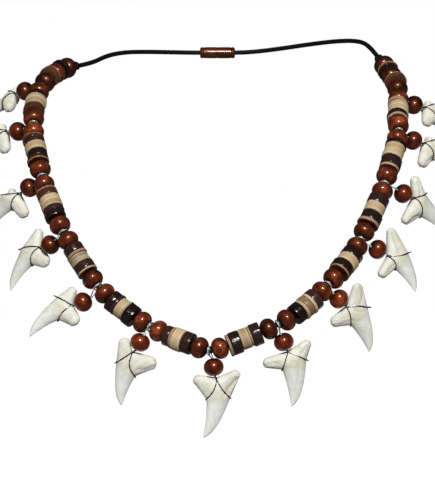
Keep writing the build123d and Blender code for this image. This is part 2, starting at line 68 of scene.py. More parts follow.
STRING_ROUTE = np.array([
    (-56.5, -50.0, -8.0),
    (-67.5, -69.0, -16.5),
    (-69.5, -90.5, -31.5),
    (-65.5, -107.0, -51.5),
    (-57.0, -121.0, -72.5),
    (-44.0, -131.0, -92.5),
    (-24.5, -139.0, -107.0),
    (-3.0, -148.0, -116.0),
    (22.0, -146.0, -106.0),
    (40.5, -136.0, -91.5),
    (53.0, -121.0, -75.0),
    (62.5, -107.5, -54.0),
    (68.5, -91.0, -34.0),
    (69.5, -69.0, -19.5),
    (63.5, -51.0, -6.0),
])
LEFT_NECK_ROUTE = [
    (-0.0490, -0.0403, -0.0061),
    (-0.0434, -0.0296, -0.0026),
    (-0.0366, -0.0193, -0.0008),
    (-0.0285, -0.0095, -0.0002),
    (-0.0195, -0.0020, 0.0),
    (-0.0095, 0.00225, 0.0),
]
RIGHT_NECK_ROUTE = [
    (0.0592, -0.0414, 0.0007),
    (0.0552, -0.0300, 0.0032),
    (0.0472, -0.0194, 0.0036),
    (0.0370, -0.0106, 0.0028),
    (0.0255, -0.0036, 0.0014),
    (0.0170, 0.0006, 0.0005),
    (0.0095, 0.00225, 0.0),
]


class Kind(Enum):
    """What a bead of the string is."""

    ROUND = "round"
    DARK = "dark"
    BROWN = "brown"
    PALE = "pale"
    OLIVE = "olive"
    UMBER = "umber, with a tan edge where it begins"
    UMBER_TURNED = "umber, with a tan edge where it ends"


R, D, B, P, O = Kind.ROUND, Kind.DARK, Kind.BROWN, Kind.PALE, Kind.OLIVE
U, V = Kind.UMBER, Kind.UMBER_TURNED
DARK_KINDS = (D, B, U, V)
PALE_KINDS = (P, O)
TANNED_KINDS = (B, U, V)

# The stretches between two teeth: how far the string stands out of the straight line where the discs begin
# and end, and the beads in order, as (kind, share of the stretch's discs)
STRETCHES = [
    ((1.5, 1.3), [(R, 0), (D, 3), (R, 0), (U, 5), (R, 0)]),
    ((1.1, 0.7), [(R, 0), (D, 5), (P, 4), (P, 4), (B, 2), (U, 6), (R, 0)]),
    ((0.9, 0.6), [(R, 0), (U, 5), (D, 5), (P, 9), (D, 8), (V, 5), (R, 0)]),
    ((0.9, 0.6), [(R, 0), (U, 9), (P, 7), (P, 5), (D, 6), (D, 6), (R, 0)]),
    ((0.3, 0.3), [(R, 0), (D, 9), (B, 3), (O, 6), (P, 3), (D, 9), (B, 2), (R, 0)]),
    ((0.8, 0.9), [(R, 0), (D, 8), (D, 4), (P, 9), (B, 2), (D, 11), (R, 0)]),
    ((0.6, 0.0), [(R, 0), (D, 7), (B, 3), (P, 10), (D, 10), (R, 0)]),
    ((0.4, 0.6), [(R, 0), (B, 3), (D, 11), (P, 10), (B, 2), (D, 11), (R, 0)]),
    ((1.3, 1.3), [(R, 0), (D, 10), (P, 3), (B, 7), (P, 3), (D, 9), (R, 0)]),
    ((0.8, 1.0), [(R, 0), (B, 2), (D, 9), (P, 9), (D, 9), (R, 0)]),
    ((0.2, 0.7), [(R, 0), (B, 3), (D, 9), (P, 9), (D, 9), (R, 0)]),
    ((0.1, 0.4), [(R, 0), (B, 2), (D, 8), (P, 4), (P, 7), (D, 3), (R, 0)]),
    ((-0.3, -0.3), [(R, 0), (B, 2), (D, 3), (P, 5), (P, 4), (B, 3), (R, 0)]),
    ((1.1, 0.6), [(R, 0), (V, 8), (R, 0), (D, 3), (U, 3), (R, 0)]),
]


@dataclass(frozen=True)
class ToothRow:
    """One tooth as it hangs, its tip down, seen from the front.

    drop is the way from the string to the bead. hang is the spare reach below it as a share of its diameter,
    turn, tilt and twist are degrees. Ends, notches and tip are pairs of shares of the root's half width and
    of the reach, slip and girths shares of the half width. bows bend the wire's strands towards the blade, as
    shares of their length, and outs are how far the wire stands out past each notch.
    """

    drop: tuple[float, float, float]
    hang: float
    turn: float
    tilt: float
    twist: float
    slip: float
    left_end: tuple[float, float]
    left_girth: float
    right_end: tuple[float, float]
    right_girth: float
    left_notch: tuple[float, float]
    right_notch: tuple[float, float]
    tip: tuple[float, float]
    bows: tuple[float, float]
    outs: tuple[float, float]


TEETH = [
    ToothRow((-6.4, 2.7, -1.5), 0.28, -60, 30, 60, -0.35, (-0.35, -0.06), 0.18, (0.62, -0.13), 0.28,
             (-0.42, -0.21), (0.42, -0.29), (0.45, -0.84), (0.0, 0.10), (0.3, 0.3)),
    ToothRow((-6.0, 2.7, -2.5), 0.13, -65, 28, 20, -0.30, (-0.25, -0.10), 0.18, (0.66, -0.16), 0.30,
             (-0.42, -0.28), (0.46, -0.34), (0.50, -0.82), (0.05, 0.10), (0.3, 0.3)),
    ToothRow((-4.8, 2.7, -3.9), 0.18, -54, 25, 15, -0.10, (-0.25, -0.12), 0.17, (0.80, -0.12), 0.28,
             (-0.42, -0.32), (0.42, -0.26), (0.50, -0.85), (0.0, 0.08), (0.3, 0.3)),
    ToothRow((-4.9, 2.3, -4.3), 0.04, -55, 20, 20, -0.20, (-0.59, 0.07), 0.22, (0.59, -0.07), 0.31,
             (-0.44, -0.34), (0.44, -0.29), (0.86, -0.87), (-0.05, 0.13), (0.8, 0.25)),
    ToothRow((-5.4, 1.0, -5.4), 0.06, -78, 12, 10, 0.03, (-0.60, 0.03), 0.21, (0.61, -0.03), 0.30,
             (-0.49, -0.25), (0.49, -0.28), (0.96, -0.83), (-0.04, 0.05), (0.8, 0.4)),
    ToothRow((-3.9, 0.8, -5.8), 0.07, -20, 5, 0, -0.18, (-0.44, 0.09), 0.25, (0.89, -0.08), 0.30,
             (-0.48, -0.26), (0.48, -0.37), (0.38, -0.92), (0.0, 0.17), (0.3, 0.25)),
    ToothRow((1.4, 1.0, -5.4), 0.02, 4, 0, 0, 0.10, (-0.80, -0.02), 0.23, (0.80, 0.03), 0.21,
             (-0.51, -0.34), (0.51, -0.35), (-0.77, -0.98), (0.10, 0.05), (0.2, 0.2)),
    ToothRow((2.1, 1.2, -6.2), 0.0, 27, 5, 0, -0.04, (-0.97, -0.02), 0.22, (0.86, -0.04), 0.20,
             (-0.55, -0.23), (0.55, -0.27), (-0.93, -0.86), (0.0, -0.04), (0.2, 0.4)),
    ToothRow((3.9, 1.3, -5.1), 0.03, 52, 12, 0, -0.05, (-0.79, -0.02), 0.25, (0.89, 0.03), 0.24,
             (-0.52, -0.26), (0.52, -0.30), (-0.94, -0.80), (0.05, -0.08), (0.2, 0.9)),
    ToothRow((6.2, 1.2, -3.6), 0.12, 73, 20, -10, -0.15, (-0.76, 0.01), 0.22, (1.05, 0.02), 0.22,
             (-0.43, -0.19), (0.43, -0.36), (-1.12, -0.65), (0.10, 0.06), (0.2, 0.8)),
    ToothRow((6.8, 1.9, -3.7), 0.14, 51, 25, -20, 0.20, (-1.0, -0.10), 0.23, (0.66, 0.12), 0.22,
             (-0.49, -0.30), (0.49, -0.17), (-0.30, -0.86), (0.13, 0.0), (0.25, 0.6)),
    ToothRow((5.6, 2.1, -3.5), 0.16, 60, 28, -25, 0.20, (-0.80, -0.12), 0.27, (0.28, -0.10), 0.17,
             (-0.48, -0.27), (0.42, -0.20), (-0.40, -0.84), (0.10, 0.0), (0.3, 0.4)),
    ToothRow((5.9, 2.9, -3.8), 0.24, 62, 30, -35, 0.22, (-0.55, -0.12), 0.28, (0.28, -0.08), 0.18,
             (-0.46, -0.29), (0.42, -0.20), (-0.40, -0.84), (0.10, 0.0), (0.3, 0.3)),
]

# Grooves and ridges on the front of some teeth: points as shares like those above, width in millimetres, and
# depth in millimetres, below 0 for a ridge
MARKS = {
    4: [([(0.50, -0.20), (0.66, -0.15), (0.76, -0.07)], 0.8, 0.10)],
    5: [([(0.45, -0.22), (0.66, -0.16), (0.80, -0.08)], 0.8, 0.10)],
    6: [([(0.50, -0.24), (0.78, -0.20), (1.02, -0.12)], 0.6, 0.22),
        ([(0.12, -0.10), (0.02, -0.18), (0.06, -0.27)], 0.5, 0.12)],
    7: [([(0.83, -0.05), (0.53, -0.157), (0.42, -0.20), (0.37, -0.27)], 0.75, 0.42),
        ([(0.99, 0.01), (0.78, -0.13), (0.58, -0.257)], 0.7, -0.20),
        ([(0.70, -0.06), (0.45, -0.14), (0.36, -0.22)], 1.8, 0.20)],
    8: [([(-0.09, -0.193), (0.03, -0.179), (0.13, -0.227), (0.07, -0.29), (-0.10, -0.293), (-0.18, -0.248)],
         0.28, 0.16),
        ([(0.28, -0.193), (0.12, -0.31), (-0.04, -0.425), (-0.25, -0.552)], 0.45, 0.16),
        ([(-1.04, -0.03), (-0.82, -0.052), (-0.58, -0.10)], 0.7, 0.20),
        ([(0.80, -0.06), (0.62, -0.10), (0.45, -0.13)], 0.55, 0.22)],
    9: [([(1.05, 0.023), (0.88, -0.062), (0.66, -0.118), (0.45, -0.146)], 0.5, 0.26),
        ([(0.15, -0.063), (0.08, -0.134), (0.14, -0.212), (0.28, -0.266)], 0.35, 0.18),
        ([(-0.30, -0.191), (-0.26, -0.275), (-0.08, -0.332)], 0.4, 0.14),
        ([(-0.80, -0.09), (-0.62, -0.13), (-0.40, -0.20)], 0.6, 0.18),
        ([(0.90, 0.0), (0.60, -0.06), (0.35, -0.12)], 2.2, 0.20)],
    10: [([(1.10, 0.045), (0.80, -0.014), (0.48, -0.103), (0.24, -0.16)], 0.6, 0.34),
         ([(-0.75, -0.04), (-0.52, -0.08), (-0.32, -0.12)], 0.6, 0.24)],
    11: [([(-1.05, -0.15), (-0.80, -0.17), (-0.55, -0.24)], 0.6, 0.45),
         ([(0.64, 0.10), (0.40, 0.0), (0.16, -0.06)], 0.5, 0.18)],
    12: [([(-0.80, -0.16), (-0.60, -0.19), (-0.46, -0.24)], 0.6, 0.28)],
}

# How far along its right strand a tooth's wire carries a painted highlight, in millimetres
PAINTED_GLINT_STRANDS = {8: 3.4, 9: 3.2, 10: 2.0, 5: 1.5}

# How warm the root is between the wire's strands, tooth by tooth
WARMTH = [0.4, 0.4, 0.4, 0.2, 0.3, 0.25, 0.35, 1.0, 0.9, 0.8, 0.7, 0.5, 0.5]

# How far down its front a tooth's strands part, in millimetres, where it isn't at its top
PART_DEPTHS = {7: 1.3}

# The left half of the clasp's outline, from inside its socket to its middle: place along X and radius
CLASP_OUTLINE = [
    (-3.0, 0.02), (-3.0, 1.0), (-7.0, 1.0), (-7.0, 1.5), (-6.85, 1.95), (-6.4, 2.2),
    (-5.8, 2.25), (-5.6, 2.0), (-5.4, 2.2), (-3.0, 2.25), (-0.25, 2.25), (-0.1, 2.1),
]

# The lights: name, place and side in metres, power in watts, and whether polish mirrors them
LIGHTS = [
    ("key", (0.10, -1.45, 0.75), 0.30, 27, True),
    ("low_front", (-0.40, -1.40, -0.60), 0.35, 2.5, True),
    ("left_fill", (-1.4, -0.7, 0.1), 1.2, 4.0, False),
    ("right_fill", (1.4, -0.7, 0.1), 1.2, 1.2, False),
    ("top", (0.0, 0.1, 1.4), 1.2, 3, False),
    ("back", (0.0, 1.6, 0.25), 1.4, 15, False),
]


def unit(vectors: np.ndarray) -> np.ndarray:
    """Vectors over their own lengths."""
    return vectors / np.linalg.norm(vectors, axis=-1, keepdims=True)


def axes_beside(direction: np.ndarray) -> tuple[np.ndarray, np.ndarray]:
    """Two unit vectors square to each direction and to each other.

    Args:
        direction: unit vectors, three numbers each.

    Returns:
        Both vectors, each as an array like direction.
    """
    upright = np.abs(direction[..., 2:]) < 0.9
    helper = np.where(upright, np.array([0.0, 0.0, 1.0]), np.array([1.0, 0.0, 0.0]))
    first = unit(np.cross(direction, helper))
    return first, np.cross(direction, first)


def smooth_line(points: np.ndarray, count: int) -> np.ndarray:
    """A smooth line through points: between two of them it is the cubic whose end slopes are half the way
    from the point before to the point after (a Catmull-Rom curve).

    Args:
        points: the points in order.
        count: how many points the line gets.

    Returns:
        The line's points.
    """
    travel = np.linspace(0, len(points) - 1, count)
    span = np.minimum(travel.astype(int), len(points) - 2)
    t = (travel - span)[:, None]
    start, end = points[span], points[span + 1]
    before = points[np.maximum(span - 1, 0)]
    after = points[np.minimum(span + 2, len(points) - 1)]
    return (
        start
        + (end - before) * (t / 2)
        + (before * 2 - start * 5 + end * 4 - after) * (t ** 2 / 2)
        + (start * 3 - before - end * 3 + after) * (t ** 3 / 2)
    )


def by_length(line: np.ndarray, shares: np.ndarray) -> np.ndarray:
    """Points of a line at shares of its length."""
    travel = np.concatenate([[0], np.cumsum(np.linalg.norm(np.diff(line, axis=0), axis=1))])
    return np.stack([np.interp(shares * travel[-1], travel, line[:, axis]) for axis in range(3)], axis=1)


def ripple(
    angle: np.ndarray, rng: np.random.Generator, shape: tuple[int, ...], waves: tuple[int, int],
) -> np.ndarray:
    """A closed wavy line round a circle, the sum of sines of whole numbers of waves with random phases,
    scaled to run between about -1 and 1.

    Args:
        angle: angles round the circle.
        rng: the source of the phases.
        shape: the shape of the stack of different lines.
        waves: the fewest and the most waves.

    Returns:
        One line for each member of the stack.
    """
    counts = np.arange(waves[0], waves[1] + 1)
    phases = rng.uniform(0, 2 * np.pi, shape + (len(counts), 1))
    sizes = rng.uniform(0.4, 1.0, shape + (len(counts), 1))
    total = (sizes * np.sin(counts[:, None] * angle + phases)).sum(axis=-2)
    return total / np.sqrt(len(counts))


def join(thing: bpy.types.Object, node: str) -> None:
    """Puts a piece on the necklace's body in the place of a CAD node, and logs it.

    Args:
        thing: the piece.
        node: the CAD node that it replaces.
    """
    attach(thing, BODY)
    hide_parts(node)
    log.info("%s built", thing.name)


@dataclass
class Surface:
    """Grids of points that become one mesh, with a few values kept at every point."""

    name: str
    points: list[np.ndarray] = field(default_factory=list)
    quads: list[np.ndarray] = field(default_factory=list)
    values: dict[str, list[np.ndarray]] = field(default_factory=dict)
    count: int = 0
    weld_distance: float = 1e-7

    def add(self, grid: np.ndarray, closed: tuple[bool, bool], **values: np.ndarray) -> None:
        """Adds a grid, or a stack of grids, of points in rows and columns.

        Args:
            grid: the points, the last three axes being rows, columns and coordinates.
            closed: whether the last row meets the first, and the last column the first.
            values: a number or a vector for each point.
        """
        stack = grid.reshape((-1,) + grid.shape[-3:])
        index = np.arange(stack[..., 0].size).reshape(stack.shape[:3]) + self.count
        if closed[0]:
            index = np.concatenate([index, index[:, :1]], axis=1)
        if closed[1]:
            index = np.concatenate([index, index[:, :, :1]], axis=2)
        corners = [index[:, :-1, :-1], index[:, :-1, 1:], index[:, 1:, 1:], index[:, 1:, :-1]]
        self.quads.append(np.stack(corners, axis=-1).reshape(-1, 4))
        self.points.append(stack.reshape(-1, 3))
        self.count += stack[..., 0].size
        for key, value in values.items():
            whole = grid.shape if np.ndim(value) and np.shape(value)[-1] == 3 else grid.shape[:-1]
            width = 3 if whole == grid.shape else 1
            self.values.setdefault(key, []).append(np.broadcast_to(value, whole).reshape(-1, width))

    def build(self, material: bpy.types.Material, sharp_degrees: float = 45) -> bpy.types.Object:
        """Makes the mesh, closes its seams and dresses it.

        Args:
            material: its material.
            sharp_degrees: edges that turn more than this stay sharp.

        Returns:
            The object, at the origin.
        """
        mesh = bpy.data.meshes.new(self.name)
        points = np.concatenate(self.points) * MM
        mesh.from_pydata(points.tolist(), [], np.concatenate(self.quads).tolist())
        for key, parts in self.values.items():
            value = np.concatenate(parts).astype(np.float32)
            vector = value.shape[1] == 3
            layer = mesh.attributes.new(key, "FLOAT_VECTOR" if vector else "FLOAT", "POINT")
            layer.data.foreach_set("vector" if vector else "value", value.ravel())
        work = bmesh.new()
        work.from_mesh(mesh)
        bmesh.ops.remove_doubles(work, verts=work.verts, dist=self.weld_distance)
        bmesh.ops.dissolve_degenerate(work, edges=work.edges, dist=self.weld_distance)
        bmesh.ops.recalc_face_normals(work, faces=work.faces)
        work.to_mesh(mesh)
        work.free()
        mesh.shade_smooth()
        mesh.set_sharp_from_angle(angle=np.radians(sharp_degrees))
        mesh.materials.append(material)
        thing = bpy.data.objects.new(self.name, mesh)
        bpy.context.scene.collection.objects.link(thing)
        return thing

    def build_piece(
        self, material: bpy.types.Material, node: str, sharp_degrees: float = 45,
    ) -> bpy.types.Object:
        """Makes the mesh as a piece of the necklace.

        Args:
            material: its material.
            node: the CAD node that it replaces.
            sharp_degrees: edges that turn more than this stay sharp.

        Returns:
            The object, on the necklace's body.
        """
        thing = self.build(material, sharp_degrees)
        join(thing, node)
        return thing


def tube(path: np.ndarray, radius: float | np.ndarray, sides: int) -> np.ndarray:
    """A circle carried along a path, square to it. The circle's first axis is the cross product of the path's
    direction with the one reference direction that the path keeps furthest from.

    Args:
        path: the points of the centre line.
        radius: the circle's radius, one number or one for each point.
        sides: the number of points round it.

    Returns:
        The grid, a row for each point of the path.
    """
    direction = unit(np.gradient(path, axis=0))
    candidates = unit(np.array([
        (1, 0, 0), (0, 1, 0), (0, 0, 1), (1, 1, 0), (1, -1, 0), (0, 1, 1), (0, 1, -1),
        (1, 0, 1), (1, 0, -1), (1, 1, 1), (1, 1, -1), (1, -1, 1), (-1, 1, 1),
    ], float))
    nearest = np.abs(direction @ candidates.T).max(axis=0)
    first = unit(np.cross(direction, candidates[nearest.argmin()]))
    second = np.cross(direction, first)
    angle = np.linspace(0, 2 * np.pi, sides, endpoint=False)[:, None]
    reach = np.broadcast_to(radius, len(path))[:, None, None]
    circle = first[:, None] * np.cos(angle) + second[:, None] * np.sin(angle)
    return path[:, None] + reach * circle


def capped(grid: np.ndarray) -> np.ndarray:
    """A tube's grid with its first and last circles drawn in to a point, so that it is closed."""
    ends = [np.broadcast_to(ring.mean(axis=0), ring.shape)[None] for ring in (grid[0], grid[-1])]
    return np.concatenate([ends[0], grid, ends[1]])


def math_method(operation: str, turned: bool = False) -> Callable[["Number", "Number | float"], "Number"]:
    """Makes the method of one operator of Number.

    Args:
        operation: what its Math node does.
        turned: whether the number is the second term, as in a reflected form.

    Returns:
        The method.
    """
    def method(number: "Number", other: "Number | float") -> "Number":
        """A Math node of the number and the other term."""
        terms = (other, number) if turned else (number, other)
        return number.nodes.math(operation, terms)

    return method


class Number:
    """A number socket of a shader. Sums, differences and products of it become Math nodes."""

    def __init__(self, nodes: "Nodes", socket: bpy.types.NodeSocket) -> None:
        """Keeps the tree and the socket."""
        self.nodes = nodes
        self.socket = socket

    __add__, __radd__ = math_method("ADD"), math_method("ADD", True)
    __sub__, __rsub__ = math_method("SUBTRACT"), math_method("SUBTRACT", True)
    __mul__, __rmul__ = math_method("MULTIPLY"), math_method("MULTIPLY", True)

    def between(self, low: float, high: float) -> "Number":
        """0 below low, 1 above high and a smooth rise in between. Turned round if low is above high.

        Args:
            low: where the rise begins.
            high: where it ends.

        Returns:
            The new number.
        """
        ends = {"Value": self, "From Min": low, "From Max": high}
        node = self.nodes.add("ShaderNodeMapRange", {"interpolation_type": "SMOOTHSTEP"}, ends)
        return Number(self.nodes, node.outputs[0])


class Nodes:
    """The shader nodes of one material or world."""

    def __init__(self, owner: bpy.types.Material | bpy.types.World) -> None:
        """Empties the owner's tree.

        Args:
            owner: the material or world.
        """
        self.owner = owner
        owner.use_nodes = True
        self.tree = owner.node_tree
        self.tree.nodes.clear()

    def add(self, kind: str, settings: dict | None = None, inputs: dict | None = None) -> bpy.types.Node:
        """Adds any node.

        Args:
            kind: the node's type.
            settings: its own settings; "stops" are a colour ramp's places and colours.
            inputs: the values or links of its sockets, by name, identifier or number.

        Returns:
            The node.
        """
        node = self.tree.nodes.new(kind)
        for key, value in (settings or {}).items():
            if key == "stops":
                self._set_stops(node.color_ramp, value)
            else:
                setattr(node, key, value)
        for key, value in (inputs or {}).items():
            self._feed(self._socket(node.inputs, key), value)
        return node

    @staticmethod
    def _set_stops(ramp: bpy.types.ColorRamp, stops: Stops) -> None:
        """Gives a colour ramp its stops.

        Args:
            ramp: the colour ramp.
            stops: their places and colours.
        """
        while len(ramp.elements) < len(stops):
            ramp.elements.new(0.5)
        for element, (place, colour) in zip(ramp.elements, stops):
            element.position = place
            element.color = (*colour, 1)

    @staticmethod
    def _socket(sockets: bpy.types.NodeInputs, key: str | int) -> bpy.types.NodeSocket:
        """Finds a socket.

        Args:
            sockets: the sockets of a node.
            key: its number, its identifier or its name.

        Returns:
            The socket.
        """
        if isinstance(key, int):
            return sockets[key]
        return next((s for s in sockets if s.identifier == key), None) or sockets[key]

    def _feed(self, socket: bpy.types.NodeSocket, value: object) -> None:
        """Links or sets one socket.

        Args:
            socket: the socket.
            value: a number or a socket to link, or a constant.
        """
        source = value.socket if isinstance(value, Number) else value
        if isinstance(source, bpy.types.NodeSocket):
            self.tree.links.new(source, socket)
        elif isinstance(source, tuple) and socket.type == "RGBA":
            socket.default_value = (*source, 1)
        else:
            socket.default_value = source

    def math(self, operation: str, terms: tuple["Number | float", ...]) -> Number:
        """A Math node of some terms."""
        node = self.add("ShaderNodeMath", {"operation": operation}, dict(enumerate(terms)))
        return Number(self, node.outputs[0])

    def kept(self, name: str) -> Number:
        """A number that the mesh keeps at its points."""
        return Number(self, self.add("ShaderNodeAttribute", {"attribute_name": name}).outputs["Fac"])

    def kept_place(self, name: str, scale: Triple) -> bpy.types.NodeSocket:
        """A vector that the mesh keeps at its points, stretched along each axis."""
        place = self.add("ShaderNodeAttribute", {"attribute_name": name}).outputs["Vector"]
        return self.stretched(place, scale)

    def object_place(self, scale: Triple) -> bpy.types.NodeSocket:
        """Object coordinates, stretched along each axis."""
        return self.stretched(self.add("ShaderNodeTexCoord").outputs["Object"], scale)

    def stretched(self, place: bpy.types.NodeSocket, scale: Triple) -> bpy.types.NodeSocket:
        """A vector times a scale."""
        return self.add("ShaderNodeVectorMath", {"operation": "MULTIPLY"}, {0: place, 1: scale}).outputs[0]

    def noise(self, place: bpy.types.NodeSocket, scale: float, detail: float = 3, rough: float = 0.5,
              bend: float = 0) -> Number:
        """Cloudy noise between 0 and 1."""
        sizes = {"Vector": place, "Scale": scale, "Detail": detail, "Roughness": rough, "Distortion": bend}
        return Number(self, self.add("ShaderNodeTexNoise", None, sizes).outputs[0])

    def spots(self, place: bpy.types.NodeSocket, scale: float) -> Number:
        """The distance to the nearest of many scattered points."""
        node = self.add("ShaderNodeTexVoronoi", None, {"Vector": place, "Scale": scale})
        return Number(self, node.outputs[0])

    def ramp(self, value: Number, stops: Stops) -> bpy.types.NodeSocket:
        """A colour for each value."""
        return self.add("ShaderNodeValToRGB", {"stops": stops}, {"Fac": value}).outputs[0]

    def blend(self, share: Number | float, first: object, second: object) -> bpy.types.NodeSocket:
        """A mix of two colours.

        Args:
            share: how much of the second colour it holds.
            first: the colour where share is 0.
            second: the colour where share is 1.

        Returns:
            The mix's socket.
        """
        colours = {"Factor_Float": share, "A_Color": first, "B_Color": second}
        node = self.add("ShaderNodeMix", {"data_type": "RGBA"}, colours)
        return next(s for s in node.outputs if s.identifier == "Result_Color")

    def bump(self, height: Number, distance: float) -> bpy.types.NodeSocket:
        """A normal bent by a height, in metres for a height of 1."""
        sizes = {"Strength": 1.0, "Distance": distance, "Height": height}
        return self.add("ShaderNodeBump", None, sizes).outputs[0]

    def finish(self, **sockets: object) -> bpy.types.Material:
        """Ends the material in a Principled shader.

        Args:
            sockets: the shader's sockets, with low lines for the spaces of their names.

        Returns:
            The material.
        """
        inputs = {key.replace("_", " "): value for key, value in sockets.items()}
        shader = self.add("ShaderNodeBsdfPrincipled", None, inputs)
        self.add("ShaderNodeOutputMaterial", None, {"Surface": shader.outputs[0]})
        return self.owner


@dataclass(frozen=True)
class PolishedWood:
    """Turned and polished wood: streaks along the grain and dark pores, with painted shade darkening it
    towards the mouths.
    """

    name: str
    dark: Triple
    middle: Triple
    light: Triple
    speckle: float
    roughness: float = 0.39
    tint: Triple = (1.0, 0.34, 0.12)

    def make(self) -> bpy.types.Material:
        """Makes the material. It reads the mesh's grain, tone and rim.

        Returns:
            The material.
        """
        n = Nodes(bpy.data.materials.new(self.name))
        streaks = n.noise(n.kept_place("grain", (1.0, 1.0, 0.16)), 1.5, 5, 0.6, 0.6)
        clouds = n.noise(n.kept_place("grain", (1.0, 1.0, 0.6)), 0.33, 2, 0.5)
        fine = n.noise(n.kept_place("grain", (1.0, 1.0, 0.10)), 6.0, 2, 0.5)
        value = streaks * 0.80 + clouds * 1.05 + fine * 0.25 + n.kept("tone") * 0.20 - 0.74
        wood = n.ramp(value, ((0.12, self.dark), (0.46, self.middle), (0.86, self.light)))
        pores = n.spots(n.kept_place("grain", (1.0, 1.0, 0.35)), 1.15).between(0.20, 0.07)
        mottle = n.noise(n.kept_place("grain", (1.0, 1.0, 0.8)), 2.2, 4, 0.65).between(0.60, 0.70)
        marks = pores * 0.5 * self.speckle + mottle * 0.6 * self.speckle
        marked = n.blend(marks * 0.8, wood, tuple(c * 0.35 for c in self.dark))
        # Painted shade: darker towards each mouth, where a bead meets its neighbours
        mouth = n.kept("rim").between(0.12, 0.90)
        return n.finish(
            Base_Color=n.blend(mouth * 0.9, marked, tuple(c * 0.3 for c in self.dark)),
            Roughness=fine * 0.10 + self.roughness + marks * 0.12,
            Specular_IOR_Level=0.8,
            Specular_Tint=self.tint,
            Coat_Weight=0.5,
            Coat_Roughness=0.07,
            Normal=n.bump(streaks * 0.6 + fine * 0.4 - marks * 0.5, 0.00006),
        )


@dataclass(frozen=True)
class DarkShell:
    """Polished near-black coconut shell, with reddish discs and with tan on the thin brown ones."""

    name: str = "dark_coconut_shell"
    black: Stops = (
        (0.25, (0.003, 0.0017, 0.0015)), (0.55, (0.016, 0.0075, 0.0060)), (0.9, (0.060, 0.027, 0.020)),
    )
    red: Stops = ((0.2, (0.016, 0.005, 0.003)), (0.5, (0.060, 0.018, 0.009)), (0.8, (0.15, 0.058, 0.026)))
    tan: Stops = ((0.2, (0.13, 0.06, 0.030)), (0.5, (0.36, 0.21, 0.120)), (0.8, (0.58, 0.40, 0.26)))
    fleck: Triple = (0.11, 0.065, 0.052)

    def make(self) -> bpy.types.Material:
        """Makes the material. It reads the mesh's grain, tone, brown and umber.

        Returns:
            The material.
        """
        n = Nodes(bpy.data.materials.new(self.name))
        tone = n.kept("tone")
        brown = n.kept("brown")
        fibre = n.noise(n.kept_place("grain", (1.0, 1.0, 3.5)), 1.1, 5, 0.65, 0.5)
        flecks = n.noise(n.kept_place("grain", (0.6, 0.6, 2.0)), 3.2, 3, 0.6).between(0.60, 0.74)
        flecked = n.blend(flecks * 0.35, n.ramp(fibre + tone * 0.35 - 0.12, self.black), self.fleck)
        warmth = fibre + tone * 0.3 - 0.1
        bodied = n.blend(n.kept("umber"), flecked, n.ramp(warmth, self.red))
        return n.finish(
            Base_Color=n.blend(brown, bodied, n.ramp(warmth, self.tan)),
            Roughness=fibre * 0.14 + 0.14 + brown * 0.3,
            Specular_IOR_Level=0.35,
            Coat_Weight=brown * -0.3 + 0.3,
            Coat_Roughness=0.1,
            Normal=n.bump(fibre * 0.8 + flecks * 0.3, 0.00006),
        )


@dataclass(frozen=True)
class PaleShell:
    """Tan coconut wood, fibrous, with paler rims and dark pits. Some discs are olive."""

    name: str = "pale_coconut_shell"
    tan: Stops = (
        (0.16, (0.20, 0.115, 0.05)), (0.42, (0.40, 0.27, 0.13)), (0.62, (0.54, 0.39, 0.21)),
        (0.85, (0.68, 0.55, 0.36)),
    )
    olive: Triple = (0.20, 0.19, 0.11)
    rim: Triple = (0.72, 0.62, 0.45)
    pit: Triple = (0.20, 0.12, 0.06)

    def make(self) -> bpy.types.Material:
        """Makes the material. It reads the mesh's grain, tone, olive and rim.

        Returns:
            The material.
        """
        n = Nodes(bpy.data.materials.new(self.name))
        fibre = n.noise(n.kept_place("grain", (1.0, 1.0, 2.6)), 1.3, 5, 0.6, 1.2)
        fine = n.noise(n.kept_place("grain", (1.4, 1.4, 5.0)), 3.5, 3, 0.6, 0.6)
        wood = n.ramp(fibre * 0.8 + fine * 0.35 + n.kept("tone") * 0.3 - 0.24, self.tan)
        aged = n.blend(n.kept("olive") * 0.8, wood, self.olive)
        edged = n.blend(n.kept("rim") * 0.55, aged, self.rim)
        pits = n.spots(n.kept_place("grain", (1.0, 1.0, 1.6)), 1.2).between(0.14, 0.05)
        return n.finish(
            Base_Color=n.blend(pits * 0.5, edged, self.pit),
            Roughness=fibre * 0.2 + 0.42,
            Normal=n.bump(fibre * 0.6 + fine * 0.5 - pits * 0.6, 0.00013),
        )


